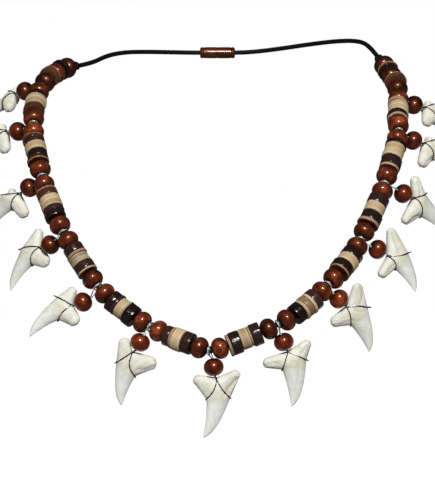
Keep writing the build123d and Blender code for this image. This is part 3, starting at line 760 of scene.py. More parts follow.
@dataclass(frozen=True)
class ToothSurface:
    """A cleaned shark tooth: a matt, mottled root and a smooth, glossy crown of enamel, with painted shade at
    its edges and in its grooves.
    """

    name: str = "shark_tooth"
    bone: Stops = ((0.28, (0.60, 0.59, 0.47)), (0.5, (0.74, 0.73, 0.62)), (0.72, (0.86, 0.855, 0.77)))
    enamel: Stops = ((0.3, (0.68, 0.70, 0.60)), (0.5, (0.82, 0.83, 0.765)), (0.68, (0.92, 0.925, 0.885)))
    pink: Triple = (0.80, 0.66, 0.53)
    warm: Triple = (0.76, 0.67, 0.47)
    # Painted shade: the grey-green that the tooth's edges are tinted towards
    edge_shade: Triple = (0.45, 0.47, 0.40)
    crack: Triple = (0.36, 0.30, 0.22)
    # Painted shade: the darker olive that the grooves and dishes on the front are tinted towards
    dirt: Triple = (0.42, 0.39, 0.27)

    def make(self) -> bpy.types.Material:
        """Makes the material. It reads the mesh's place, crown, neck, edge and groove.

        Returns:
            The material.
        """
        n = Nodes(bpy.data.materials.new(self.name))
        crown = n.kept("crown").between(-1.3, 1.1)
        place = n.kept_place("place", (1.0, 1.0, 1.0))
        clouds = n.noise(place, 0.34, 4, 0.55)
        blotches = n.noise(place, 0.62, 3, 0.5, 0.5)
        grain = n.noise(place, 3.4, 4, 0.65)
        root = n.ramp(clouds * 0.75 + grain * 0.25, self.bone)
        pinked = n.blend(blotches.between(0.54, 0.68) * 0.26, root, self.pink)
        warm_root = n.blend(n.kept("neck") * (blotches * 0.8 + 0.1), pinked, self.warm)
        streaks = n.noise(n.kept_place("place", (1.0, 1.0, 0.14)), 1.1, 4, 0.5)
        body = n.blend(crown, warm_root, n.ramp(streaks * 0.5 + clouds * 0.5, self.enamel))
        # Painted shade towards the outline
        edge_shaded = n.blend(n.kept("edge").between(0.30, 0.0) * 0.15, body, self.edge_shade)
        cracks = n.spots(n.kept_place("place", (1.0, 1.0, 0.4)), 0.9).between(0.06, 0.02) * (1 - crown)
        cracked = n.blend(cracks * 0.25, edge_shaded, self.crack)
        return n.finish(
            # The groove value paints shade into the front's grooves and dishes
            Base_Color=n.blend(n.kept("groove") * 0.45, cracked, self.dirt),
            Roughness=crown * -0.34 + 0.56 + grain * 0.12,
            Coat_Weight=crown * 0.4,
            Coat_Roughness=0.12,
            Normal=n.bump((1 - crown) * (grain * 0.35 + blotches * 0.7) + crown * streaks * 0.3, 0.00012),
        )


@dataclass(frozen=True)
class SteelWire:
    """Drawn steel wire, with a painted highlight at the string and on some strands, and a painted dark
    reflection on the tooth.
    """

    name: str = "steel_wire"
    # The bright stops are a painted highlight; the stops below them paint the wire's dark reflection and
    # shade on the tooth
    bright: Stops = ((0.3, (0.78, 0.775, 0.76)), (0.7, (0.92, 0.915, 0.90)))
    dark_reflection: Stops = ((0.3, (0.03, 0.03, 0.028)), (0.6, (0.10, 0.098, 0.092)), (0.8, (0.26, 0.255, 0.24)))

    def make(self) -> bpy.types.Material:
        """Makes the material. It reads the mesh's painted highlight.

        Returns:
            The material.
        """
        n = Nodes(bpy.data.materials.new(self.name))
        dirt = n.noise(n.object_place(IN_MILLIMETRES), 0.8, 3, 0.6)
        shine = n.kept("shine")
        return n.finish(
            # Painted dark reflection, turned to a pale painted highlight where the mesh asks for it, and less
            # metallic there
            Base_Color=n.blend(shine, n.ramp(dirt, self.dark_reflection), n.ramp(dirt, self.bright)),
            Metallic=1.0 - shine * 0.85,
            Roughness=dirt * 0.12 + 0.26,
            Normal=n.bump(dirt, 0.00001),
        )


@dataclass(frozen=True)
class WaxedCord:
    """Black waxed cotton cord: fine lint and a dull shine."""

    name: str = "waxed_cord"
    black: Stops = (
        (0.3, (0.0015, 0.0018, 0.0025)), (0.6, (0.005, 0.0055, 0.007)), (0.8, (0.016, 0.017, 0.020)),
    )

    def make(self) -> bpy.types.Material:
        """Makes the material.

        Returns:
            The material.
        """
        n = Nodes(bpy.data.materials.new(self.name))
        weave = n.noise(n.object_place(IN_MILLIMETRES), 2.6, 3, 0.6)
        lint = n.noise(n.object_place(IN_MILLIMETRES), 0.5, 2, 0.5)
        return n.finish(
            Base_Color=n.ramp(weave * 0.6 + lint * 0.4, self.black),
            Roughness=weave * 0.25 + 0.45,
            Specular_IOR_Level=0.15,
            Normal=n.bump(weave, 0.00018),
        )


@dataclass(frozen=True)
class Bead:
    """One bead of the string: its kind, its share of its stretch's discs, and where it sits."""

    kind: Kind
    share: float
    centre: np.ndarray
    direction: np.ndarray
    length: float


@dataclass
class BeadRun:
    """Where the beads of the string sit. Each stretch runs straight from its tooth to a bend behind its outer
    round bead, straight through its discs to the next bend, and straight to the next tooth."""

    round_length: float = 5.8
    cord_diameter: float = 1.8
    loose_gap: float = 0.12
    slit_share: float = 0.3
    wire_diameter: float = 0.4
    wire_clearance: float = 0.12
    turn_gap: float = 0.06
    bend_radius: float = 5.0

    def __post_init__(self) -> None:
        """Works out the chords between the teeth, the bends and the directions at each tooth."""
        self.chords = unit(np.diff(STRING_ROUTE, axis=0))
        self.bends = [self.bend_points(number) for number in range(len(STRETCHES))]
        self.leaving = [unit(bend[0] - start) for start, bend in zip(STRING_ROUTE, self.bends)]
        self.arriving = [unit(end - bend[1]) for end, bend in zip(STRING_ROUTE[1:], self.bends)]

    def hanger_gap(self, station: int) -> float:
        """The space between the two beads at a tooth's wire.

        Args:
            station: the number of the point of the route.

        Returns:
            The space, 0 at the string's ends.
        """
        if station in (0, len(STRETCHES)):
            return 0.0
        loop = self.cord_diameter / 2 + self.wire_clearance + self.wire_diameter
        band = 2 * self.wire_diameter + self.turn_gap + 2 * self.wire_clearance
        kink = np.arccos(self.chords[station - 1] @ self.chords[station])
        return band + 2 * loop * np.tan(kink / 2)

    def slit(self, shift: float) -> float:
        """The slit at a bend, which grows with the bend's shift."""
        return self.loose_gap + self.slit_share * abs(shift)

    def bend_points(self, number: int) -> list[np.ndarray]:
        """The two bends of a stretch, shifted square to its chord, away from the neck.

        Args:
            number: the stretch's number.

        Returns:
            Both points.
        """
        chord = self.chords[number]
        outward = unit(np.array([chord[2], 0, -chord[0]]))
        points = []
        for station, way, shift in zip((number, number + 1), (chord, -chord), STRETCHES[number][0]):
            run = self.hanger_gap(station) / 2 + self.round_length + self.slit(shift) / 2
            points.append(STRING_ROUTE[station] + way * np.sqrt(run ** 2 - shift ** 2) + outward * shift)
        return points

    def centre(self, station: int) -> np.ndarray:
        """The cord's centre where a tooth's wire goes round it: on its arc, a little inside the corner.

        Args:
            station: the tooth's number.

        Returns:
            The point.
        """
        before, after = self.arriving[station - 1], self.leaving[station]
        kink = np.arccos(before @ after)
        return STRING_ROUTE[station] + unit(after - before) * self.bend_radius * (1 / np.cos(kink / 2) - 1)

    def along(self, station: int) -> np.ndarray:
        """The string's direction at a tooth's wire."""
        return unit(self.arriving[station - 1] + self.leaving[station])

    def beads(self) -> list[Bead]:
        """Works out every bead of the string.

        Returns:
            The beads in order.
        """
        found = []
        for number, (shifts, stretch) in enumerate(STRETCHES):
            first, last = self.bends[number]
            way = unit(last - first)
            slits = [self.slit(shift) for shift in shifts]
            middle = stretch[1:-1]
            rounds = sum(kind is Kind.ROUND for kind, _ in middle) * self.round_length
            run = np.linalg.norm(last - first) - sum(slits) / 2 - self.loose_gap * (len(middle) - 1)
            step = (run - rounds) / sum(share for _, share in middle)
            leave, arrive = self.leaving[number], self.arriving[number]
            start = first - leave * (slits[0] + self.round_length) / 2
            found.append(Bead(Kind.ROUND, 0, start, leave, self.round_length))
            travel = slits[0] / 2
            for kind, share in middle:
                length = self.round_length if kind is Kind.ROUND else share * step
                found.append(Bead(kind, share, first + way * (travel + length / 2), way, length))
                travel += length + self.loose_gap
            end = last + arrive * (slits[1] + self.round_length) / 2
            found.append(Bead(Kind.ROUND, 0, end, arrive, self.round_length))
        return found


def placed(rings: np.ndarray, beads: list[Bead], rng: np.random.Generator) -> np.ndarray:
    """Local points with Z along each bead's direction, put in their places, each bead turned at random.

    Args:
        rings: the local points, stacked by bead.
        beads: the beads.
        rng: the source of their turns.

    Returns:
        The points in the necklace's frame.
    """
    centres = np.array([bead.centre for bead in beads])[:, None, None]
    directions = np.array([bead.direction for bead in beads])
    first, second = axes_beside(directions)
    turn = rng.uniform(0, 6.28, len(beads))[:, None]
    across = first * np.cos(turn) + second * np.sin(turn)
    beside = np.cross(directions, across)
    x, y, z = (rings[..., axis, None] for axis in range(3))
    return centres + x * across[:, None, None] + y * beside[:, None, None] + z * directions[:, None, None]


@dataclass
class RoundBeads:
    """Turned round beads, drilled through, whose belly is one arc from mouth to mouth."""

    diameter: float = 8.0
    length: float = 5.8
    mouth: float = 3.0
    bore: float = 2.3
    mouth_depth: float = 0.35
    out_of_round: float = 0.006
    grain_lean: float = 0.7
    columns: int = 44
    belly_rows: int = 22
    darker_behind: float = -72.0

    def profile(self) -> tuple[np.ndarray, np.ndarray, np.ndarray]:
        """The closed outline from the bore's bottom over the belly and back through the bore.

        Returns:
            Distance from the axis, height and closeness to a mouth for each point.
        """
        out = ((self.diameter ** 2 - self.length ** 2 - self.mouth ** 2) / 4) / (self.diameter - self.mouth)
        arc = self.diameter / 2 - out
        reach = np.arcsin(self.length / 2 / arc)
        angle = np.linspace(-reach, reach, self.belly_rows)
        inner_z = self.length / 2 - self.mouth_depth
        return (
            np.concatenate([out + arc * np.cos(angle), np.full(3, self.bore / 2)]),
            np.concatenate([arc * np.sin(angle), [inner_z, 0.0, -inner_z]]),
            np.concatenate([np.abs(angle / reach) ** 3, np.ones(3)]),
        )

    def add_to(self, surface: Surface, beads: list[Bead], seed: int) -> None:
        """Adds the beads: their outline turned round the axis, a little out of round.

        Args:
            surface: the mesh to be.
            beads: the beads.
            seed: the seed of their differences.
        """
        rng = np.random.default_rng(seed)
        count = len(beads)
        r, z, rim = self.profile()
        angle = np.linspace(0, 2 * np.pi, self.columns, endpoint=False)
        wave = ripple(angle, rng, (count, 1), (2, 4)) * self.out_of_round * self.diameter / 2
        radius = r[:, None] + wave * np.sqrt(1 - rim)[:, None]
        height = np.broadcast_to(z[:, None], radius.shape)
        rings = np.stack([radius * np.cos(angle), radius * np.sin(angle), height], axis=-1)
        lean = rng.uniform(-self.grain_lean, self.grain_lean, (count, 1, 1))
        grain = rings.copy()
        grain[..., 0] = rings[..., 0] * np.cos(lean) - rings[..., 2] * np.sin(lean)
        grain[..., 2] = rings[..., 0] * np.sin(lean) + rings[..., 2] * np.cos(lean)
        grain += rng.uniform(-GRAIN_SPREAD, GRAIN_SPREAD, (count, 1, 1, 3))
        at_ends = np.array([bead.centre[1] > self.darker_behind for bead in beads])[:, None, None]
        tone = rng.uniform(0, 1, (count, 1, 1)) - at_ends
        surface.add(placed(rings, beads, rng), (True, True), grain=grain, tone=tone, rim=rim[:, None])


@dataclass
class Discs:
    """Drilled discs with soft, chipped rims, each a little different. The outline has thirteen points: four
    up each face from the bore to the bevel's end, and five across the rim."""

    chips: float
    diameter: float = 8.2
    bore: float = 2.3
    bevel: float = 0.3
    bevel_share: float = 0.35
    columns: int = 60
    sizes: tuple[float, float] = (-0.32, 0.14)
    wobble: float = 0.22
    waviness: float = 0.07
    raggedness: float = 0.035
    chip_depth: float = 0.42
    chip_threshold: float = 0.75
    wide_share: float = 6
    wide_tan: float = 0.72
    edge_tan: float = 0.9
    rim_rings: tuple[int, int] = (3, 9)
    outer: tuple[float, ...] = (0, 0.5, 1, 1, 1, 1, 1, 1, 1, 1, 1, 0.5, 0)
    edge: tuple[float, ...] = (0, 0.6, 1, 1, 0.6, 0.1, 0, 0.1, 0.6, 1, 1, 0.6, 0)

    def profile(self, discs: list[Bead]) -> tuple[np.ndarray, np.ndarray]:
        """The outline of each disc, from the bore over one face, the rim and the other face to the bore.

        Args:
            discs: the discs.

        Returns:
            Distance from the axis and height, a row for each disc.
        """
        half = np.array([disc.length for disc in discs])[:, None] / 2
        cut = np.minimum(self.bevel, half * self.bevel_share)
        reach = self.diameter / 2
        inner = np.full_like(half, self.bore / 2)
        face_r = np.concatenate([inner, (inner + reach) / 2, reach - cut, reach - cut * 0.3], axis=1)
        face_z = np.concatenate([-half, -half, -half, -half + cut * 0.3], axis=1)
        rim_z = np.linspace(-1, 1, 5) * (half - cut)
        return (
            np.concatenate([face_r, np.full_like(rim_z, reach), face_r[:, ::-1]], axis=1),
            np.concatenate([face_z, rim_z, -face_z[:, ::-1]], axis=1),
        )

    def add_to(self, surface: Surface, discs: list[Bead], seed: int) -> None:
        """Adds discs: an outline turned round the axis, whose rim's radius waves round the disc and drops
        where a high wave passes a threshold, more at the two edges than between them.

        Args:
            surface: the mesh to be.
            discs: the discs.
            seed: the seed of their differences.
        """
        rng = np.random.default_rng(seed)
        count = len(discs)
        r, z = self.profile(discs)
        outer, edge = np.array(self.outer)[:, None], np.array(self.edge)[:, None]
        angle = np.linspace(0, 2 * np.pi, self.columns, endpoint=False)
        size = rng.uniform(*self.sizes, (count, 1, 1))
        slow = ripple(angle, rng, (count, 1), (2, 5)) * self.waviness
        quick = ripple(angle, rng, (count, len(edge)), (7, 17))
        nick = np.clip(quick - self.chip_threshold, 0, 1.2) * self.chip_depth * self.chips * edge
        ragged = ripple(angle, rng, (count, len(edge)), (11, 25)) * self.raggedness * self.chips
        radius = r[..., None] + (size + slow - nick + ragged) * outer
        wobble = rng.uniform(-self.wobble, self.wobble, (count, 2, 1, 1)) * outer
        rings = np.stack([
            radius * np.cos(angle) + wobble[:, 0],
            radius * np.sin(angle) + wobble[:, 1],
            np.broadcast_to(z[..., None], radius.shape),
        ], axis=-1)
        grain = rings + rng.uniform(-GRAIN_SPREAD, GRAIN_SPREAD, (count, 1, 1, 3))
        tone = rng.uniform(0, 1, (count, 1, 1))
        surface.add(
            placed(rings, discs, rng), (True, True), grain=grain, tone=tone, rim=edge,
            brown=self.tan_share(discs)[..., None],
            umber=np.array([disc.kind in TANNED_KINDS for disc in discs], float)[:, None, None],
            olive=np.array([disc.kind is Kind.OLIVE for disc in discs], float)[:, None, None],
        )

    def tan_share(self, discs: list[Bead]) -> np.ndarray:
        """How tan each ring of each disc is: the whole rim of a brown disc and one edge of an umber one.

        Args:
            discs: the discs.

        Returns:
            A row of shares for each disc.
        """
        place = np.arange(len(self.edge))
        start, end = self.rim_rings
        rim = (place >= start) & (place <= end)
        begins = (rim & (place <= start + 1)) * self.edge_tan
        looks = {Kind.BROWN: rim * 1.0, Kind.UMBER: begins, Kind.UMBER_TURNED: begins[::-1]}
        shares = np.array([looks.get(disc.kind, rim * 0.0) for disc in discs])
        wide = np.array([disc.kind is Kind.BROWN and disc.share > self.wide_share for disc in discs])
        return shares * np.where(wide, self.wide_tan, 1.0)[:, None]


@dataclass
class Tooth:
    """One shark tooth: from its outline the front and the back both rise to a spine of three arms."""

    row: ToothRow
    number: int
    bead_length: float = 6.1
    bead_diameter: float = 7.3
    reach: float = 22.0
    half_width: float = 8.7
    root_thickness: float = 5.2
    lobe_thickness: float = 3.4
    tip_thickness: float = 0.8
    taper: float = 1.3
    root_roundness: float = 0.5
    blade_roundness: float = 0.85
    round_until: float = 0.3
    front_share: float = 0.46
    hang_gap: float = 0.75
    set_back: float = 0.95
    saddle: float = 0.005
    root_middle: float = -0.17
    lobe_cap: float = 0.9
    lobe_corner: tuple[float, float] = (0.62, 0.72)
    lobe_spine_end: float = 0.3
    blade_spine_end: float = 0.95
    belly_bow: tuple[float, float] = (0.07, 0.19)
    hollow_bow: tuple[float, float] = (-0.06, -0.03)
    bow_places: tuple[float, float] = (0.33, 0.78)
    enamel_dip: float = 1.9
    lump_height: float = 0.038
    enamel_step: float = 0.03
    # How strongly a groove's depth paints shade into its colour
    groove_shade: float = 2.5
    dirt_above: float = 2.2
    dirt_spread: tuple[float, float] = (2.6, 3.2)
    side_columns: int = 40
    face_rows: int = 18
    row_crowding: float = 1.35

    def __post_init__(self) -> None:
        """Works out the tooth's own axes and its place below its bead."""
        row = self.row
        turn, tilt, twist = np.radians([row.turn, row.tilt, row.twist])
        level = np.array([np.cos(turn), 0, np.sin(turn)])
        straight_down = np.array([np.sin(turn), 0, -np.cos(turn)])
        behind = np.array([0, np.cos(tilt), 0]) - straight_down * np.sin(tilt)
        self.down = straight_down * np.cos(tilt) + np.array([0, np.sin(tilt), 0])
        self.right = level * np.cos(twist) - behind * np.sin(twist)
        self.back = behind * np.cos(twist) + level * np.sin(twist)
        low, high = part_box(f"drop_bead_{self.number:02d}")
        self.bead = (np.array(low) + np.array(high)) / 2 / MM
        self.bead_axis = unit(unit(np.array(row.drop)) + self.down)
        below = self.bead_length / 2 + self.hang_gap + row.hang * self.bead_diameter
        aside = self.back * self.set_back + self.right * row.slip * self.half_width
        self.origin = self.bead + self.down * below + aside

    def place(self, local: np.ndarray) -> np.ndarray:
        """Points of the tooth's own frame, x to its right, y to its back, z up, in the necklace's frame."""
        return self.origin + local @ np.stack([self.right, self.back, -self.down])

    def flat(self, pair: tuple[float, float]) -> np.ndarray:
        """A pair of shares as a point of the tooth's own plane."""
        return np.array([pair[0] * self.half_width, 0.0, pair[1] * self.reach])

    def edge(
        self, start: np.ndarray, tip: np.ndarray, bows: tuple[float, float], side: int, share: np.ndarray,
    ) -> np.ndarray:
        """A blade's edge: the cubic curve from a notch to the tip whose two inner control points stand off
        the straight line by the bows, as shares of its length.

        Args:
            start: the notch.
            tip: the tip.
            bows: both bows, outward above 0.
            side: -1 for the left edge, 1 for the right one.
            share: how far along the curve each point lies.

        Returns:
            The points.
        """
        chord = tip - start
        outward = np.array([-chord[2], 0, chord[0]]) * side
        first, second = (start + chord * place + outward * bow for place, bow in zip(self.bow_places, bows))
        t = share[:, None]
        rest = 1 - t
        return start * rest ** 3 + first * 3 * rest ** 2 * t + second * 3 * rest * t ** 2 + tip * t ** 3

    def lobe(self, side: int) -> tuple[np.ndarray, ...]:
        """The columns of one lobe, up over it from the saddle and back below it to the notch: the outline is
        a smooth line through the saddle, the lobe's shoulder and its cap, and then through its underside.

        Args:
            side: -1 for the left lobe, 1 for the right one.

        Returns:
            Points of the outline and of the spine, half thickness and roundness, one for each column.
        """
        row = self.row
        middle = self.flat((0, self.root_middle))
        end = self.flat(row.left_end if side < 0 else row.right_end)
        girth = (row.left_girth if side < 0 else row.right_girth) * self.half_width
        notch = self.flat(row.left_notch if side < 0 else row.right_notch)
        axis = unit(end - middle)
        across = np.array([-axis[2], 0, axis[0]]) * side
        cap = end + axis * self.lobe_cap * girth
        out, up = self.lobe_corner
        corners = [end + axis * out * girth + across * girth * way for way in (up, -up)]
        upper = np.array([self.flat((0, self.saddle)), end + across * girth, corners[0], cap])
        lower = np.array([cap, corners[1], end - across * girth, notch])
        share = np.arange(self.side_columns) / self.side_columns
        line = np.concatenate([by_length(smooth_line(part, 80), share) for part in (upper, lower)])
        along = np.concatenate([share, 1 - share])
        spine = middle + (end + axis * self.lobe_spine_end * girth - middle) * along[:, None]
        thickness = self.root_thickness + (self.lobe_thickness - self.root_thickness) * along
        return line, spine, thickness / 2, np.full(len(along), self.root_roundness)

    def blade(self, side: int, share: np.ndarray) -> tuple[np.ndarray, ...]:
        """The columns of one edge of the blade, from the notch to the tip. The spine runs midway between the
        two edges and leads into the root's middle, and the thickness falls with a power of the distance.

        Args:
            side: -1 for the left edge, 1 for the right one.
            share: how far along the edge each column lies.

        Returns:
            Points of the outline and of the spine, half thickness and roundness, one for each column.
        """
        row = self.row
        notches = {-1: self.flat(row.left_notch), 1: self.flat(row.right_notch)}
        tip = self.flat(row.tip)
        bows, other = self.belly_bow, self.hollow_bow
        if side * row.tip[0] >= 0:
            bows, other = other, bows
        inner = share * self.blade_spine_end
        line = self.edge(notches[side], tip, bows, side, share)
        here = self.edge(notches[side], tip, bows, side, inner)
        there = self.edge(notches[-side], tip, other, -side, inner)
        middle = self.flat((0, self.root_middle))
        lead = middle - (notches[-1] + notches[1]) / 2
        spine = (here + there) / 2 + lead * (1 - share[:, None]) ** 3
        fall = (1 - share) ** self.taper
        thickness = self.tip_thickness + (self.root_thickness - self.tip_thickness) * fall
        swell = (self.blade_roundness - self.root_roundness) * np.minimum(share / self.round_until, 1)
        return line, spine, thickness / 2, self.root_roundness + swell

    def grid(self) -> tuple[np.ndarray, dict[str, np.ndarray]]:
        """The whole surface, a row for each step from the front spine over the edge to the back spine.

        Returns:
            The points in the tooth's own frame and the values kept at them.
        """
        share = np.arange(self.side_columns) / self.side_columns
        left = [self.lobe(-1), self.blade(-1, share), self.blade(-1, np.array([1.0]))]
        right = [self.lobe(1), self.blade(1, share)]
        left_side = [np.concatenate(parts) for parts in zip(*left)]
        right_side = [np.concatenate(parts)[:0:-1] for parts in zip(*right)]
        line, spine, half, roundness = (np.concatenate(pair) for pair in zip(left_side, right_side))
        step = np.linspace(-1, 1, 2 * self.face_rows + 1)[:, None]
        depth = np.abs(step) ** self.row_crowding
        face = np.sign(step)
        flat = line + (spine - line) * depth[..., None]
        face_share = 2 * np.where(face < 0, self.front_share, 1 - self.front_share)
        rise = half * face_share * (1 - (1 - depth) ** 2) ** roundness
        crown = self.crown(flat)
        groove = self.groove(flat) * (face < 0)
        rise = rise + self.relief(flat, depth, crown) - groove * np.clip(depth * 5, 0, 1)
        points = flat.copy()
        points[..., 1] = face * np.maximum(rise, 0)
        high, wide = self.dirt_spread
        dirt = np.exp(-((crown + self.dirt_above) / high) ** 2) * np.exp(-(flat[..., 0] / wide) ** 4)
        # Painted shade in the grooves, from their depth
        groove_shade_share = np.clip(groove * self.groove_shade, 0, 1)
        values = {"neck": dirt * WARMTH[self.number - 1], "groove": groove_shade_share}
        return points, {"crown": crown, "edge": depth, **values}

    def crown(self, flat: np.ndarray) -> np.ndarray:
        """How far each point lies on the blade's side of the enamel's edge, which runs from notch to notch
        and dips towards the tip in the middle.

        Args:
            flat: places in the tooth's own plane.

        Returns:
            The distance in millimetres, below 0 on the root.
        """
        left, right = self.flat(self.row.left_notch), self.flat(self.row.right_notch)
        x, number = flat[..., 0], self.number
        share = np.clip((x - left[0]) / (right[0] - left[0]), -0.3, 1.3)
        straight = left[2] + (right[2] - left[2]) * share
        dip = self.enamel_dip * np.clip(1 - (2 * share - 1) ** 2, 0, 1)
        wave = 0.16 * np.sin(x * 2.1 + number) + 0.1 * np.sin(x * 4.7 + 2 * number)
        return straight + 0.15 - dip - flat[..., 2] + wave

    def groove(self, flat: np.ndarray) -> np.ndarray:
        """The depth of the tooth's own grooves: each falls off with the square of the distance to a smooth
        line through its points, as a bell curve.

        Args:
            flat: places in the tooth's own plane.

        Returns:
            The depth at each place, below 0 on a ridge.
        """
        total = np.zeros(flat.shape[:-1])
        for shares, width, depth in MARKS.get(self.number, ()):
            line = smooth_line(np.array([self.flat(pair) for pair in shares]), 24)
            away = ((flat[..., None, :] - line) ** 2).sum(axis=-1).min(axis=-1)
            total += depth * np.exp(-away / width ** 2)
        return total

    def relief(self, flat: np.ndarray, depth: np.ndarray, crown: np.ndarray) -> np.ndarray:
        """Low relief: lumps on the root as sums of sines and a small step down from root to enamel.

        Args:
            flat: places in the tooth's own plane.
            depth: how far in from the outline each lies, 1 on the spine.
            crown: how far on the enamel's side.

        Returns:
            What to add to the height.
        """
        x, z = flat[..., 0], flat[..., 2]
        seed = self.number * 1.7
        lumps = (
            np.sin(x * 1.3 + seed) * np.sin(z * 1.1 + seed * 2) + 0.6 * np.sin(x * 2.4 - z * 1.9 + seed)
            + 0.35 * np.sin(x * 4.1 + z * 3.7 + seed * 3)
        )
        inside = np.clip(depth * 3, 0, 1)
        on_root = 1 / (1 + np.exp(crown * 3))
        return inside * on_root * (self.lump_height * lumps + self.enamel_step)

    def build(self, material: bpy.types.Material) -> bpy.types.Object:
        """Makes the tooth.

        Args:
            material: its material.

        Returns:
            The object.
        """
        self.local, values = self.grid()
        surface = Surface(f"shark_tooth_{self.number:02d}")
        offset = np.array([self.number * 31.0, self.number * 17.0, 0.0])
        surface.add(self.place(self.local), (False, True), place=self.local + offset, **values)
        return surface.build_piece(material, f"tooth_{self.number:02d}", 80)

    def height(self, x: np.ndarray, z: np.ndarray, face: int) -> np.ndarray:
        """How far a face of the built tooth rises from its middle plane: the mean of the four nearest grid
        points, weighted by nearness.

        Args:
            x: places to the right, in the tooth's own frame.
            z: places up.
            face: -1 for the front, 1 for the back.

        Returns:
            The height at each place.
        """
        half = self.face_rows
        part = self.local[: half + 1] if face < 0 else self.local[half:]
        points = part.reshape(-1, 3)
        away = (points[:, 0] - x[:, None]) ** 2 + (points[:, 2] - z[:, None]) ** 2
        nearest = np.argsort(away, axis=1)[:, :4]
        weight = 1 / (np.take_along_axis(away, nearest, axis=1) + 1e-4)
        return (weight * np.abs(points[:, 1])[nearest]).sum(axis=1) / weight.sum(axis=1)


@dataclass
class ToothWire:
    """A tooth's wire: both strands from its notches over the root, through the bead and round the string."""

    tooth: Tooth
    run: BeadRun
    radius: float = 0.2
    clearance: float = 0.03
    spacing: float = 0.5
    turns: float = 1.75
    looseness: float = 0.4
    strand_end: float = 0.97
    twist_radius: float = 0.23
    apex_drop: float = 0.3
    # How much painted shade dims the second turn's painted highlight, and over what length it sets in
    second_turn_shade: float = 0.95
    turn_fade: float = 0.25
    # How the painted highlight on some right strands fades in and out, and how strong it is
    strand_fades: tuple[float, float] = (0.6, 0.8)
    strand_highlight: float = 0.75

    def __post_init__(self) -> None:
        """The strands part at the tooth's top, or further down its front."""
        self.part_depth = PART_DEPTHS.get(self.tooth.number, 0.35)

    def tie(self, side: int) -> np.ndarray:
        """One strand in the tooth's own frame, from the apex down the front to a notch, round it and up the
        back. It follows the tooth's height, bowed sideways by a half sine.

        Args:
            side: -1 for the left strand, 1 for the right one.

        Returns:
            The points of its centre line.
        """
        row = self.tooth.row
        notch = self.tooth.flat(row.left_notch if side < 0 else row.right_notch)
        bow = row.bows[0 if side < 0 else 1]
        out = row.outs[0 if side < 0 else 1]
        start = np.array([side * self.radius, 0, -self.part_depth])
        way = notch - start
        towards_blade = np.array([way[2], 0, -way[0]]) * side
        share = np.linspace(0, self.strand_end, 20)[:, None]
        flat = start + way * share + towards_blade * bow * np.sin(np.pi * share)
        lift = self.radius + self.clearance
        strands = []
        for face in (-1, 1):
            strand = flat.copy()
            strand[:, 1] = face * (self.tooth.height(flat[:, 0], flat[:, 2], face) + lift)
            strands.append(strand)
        apex = np.array([side * self.spacing / 2, 0, -self.apex_drop])
        apex[1] = self.tooth.height(apex[:1], apex[2:], 1)[0] + lift
        edge = notch + unit(way) * (lift + out)
        bend = np.array([0, 0.45 * (out + 0.3), 0])
        return np.concatenate([strands[0], [edge - bend, edge + bend], strands[1][::-1], [apex]])

    def twist(self, side: int, bottom: np.ndarray, aside: np.ndarray) -> np.ndarray:
        """One strand of the twisted pair between the bead and the parting: a helix of one turn about the
        straight line between them, whose radius is a little more than the wire's own.

        Args:
            side: -1 for the left strand, 1 for the right one.
            bottom: the middle of the bead's lower mouth.
            aside: the way from the left strand to the right one.

        Returns:
            The points of its centre line.
        """
        tooth = self.tooth
        low = np.array([0.0, 0.0, -self.part_depth])
        low[1] = -(tooth.height(low[:1], low[2:], -1)[0] + 2 * self.radius + self.clearance)
        end = tooth.place(low)
        share = np.linspace(0.08, 0.92, 12)[:, None]
        way = unit(end - bottom)
        first = unit(aside - way * (aside @ way))
        second = np.cross(way, first)
        angle = 2 * np.pi * share
        circle = first * np.cos(angle) + second * np.sin(angle)
        return bottom + (end - bottom) * share + circle * self.twist_radius * side

    def loops(self) -> np.ndarray:
        """The turns round the string: a helix about the cord from the front below it to the back below it.

        Returns:
            The points of its centre line.
        """
        centre = self.run.centre(self.tooth.number)
        along = self.run.along(self.tooth.number)
        drop = unit(np.array(self.tooth.row.drop))
        below = unit(drop - along * (drop @ along))
        front = np.cross(below, along)
        reach = self.run.cord_diameter / 2 + self.run.wire_clearance + self.radius + self.looseness
        share = np.linspace(0, 1, 48)[:, None]
        angle = (2 - self.turns) * np.pi + share * self.turns * 2 * np.pi
        aside = (2 * self.radius + self.run.turn_gap) * self.turns * (share - 0.5)
        return centre + reach * (np.cos(angle) * below + np.sin(angle) * front) + aside * along

    def shine(self, grid: np.ndarray, path: np.ndarray, bottom: np.ndarray) -> np.ndarray:
        """How much painted highlight each point of the wire gets: on the string its outer side, most of all
        that of the first turn, the second being dimmed as painted shade, and on some teeth the start of the
        right strand.

        Args:
            grid: the wire's points, its two caps among them.
            path: the points of its centre line.
            bottom: the middle of the bead's lower mouth.

        Returns:
            A share for each point.
        """
        tooth = self.tooth
        along = self.run.along(tooth.number)
        flank = np.abs((grid[1:-1] - path[:, None]) @ along) / self.radius
        beyond = (path - self.run.centre(tooth.number)) @ along
        second_turn = np.clip(beyond / self.turn_fade, 0, 1)[:, None]
        # Painted highlight on the outer side of the turns round the string, dimmed on the second turn as
        # painted shade
        lit_flank = np.clip(1.5 - 1.5 * flank, 0, 1) * (1 - self.second_turn_shade * second_turn)
        lit_flank = np.pad(lit_flank, ((1, 1), (0, 0)), mode="edge")
        above = (grid - bottom) @ tooth.bead_axis
        sideways = (grid - tooth.origin) @ tooth.right
        left = PAINTED_GLINT_STRANDS.get(tooth.number, 0.0) - sideways
        rise, fall = self.strand_fades
        on_tooth = np.clip(sideways / rise, 0, 1) * np.clip(left / fall, 0, 1) * self.strand_highlight
        return np.where(above < 0, np.clip(-above / tooth.bead_length, 0, 1) * lit_flank, on_tooth)

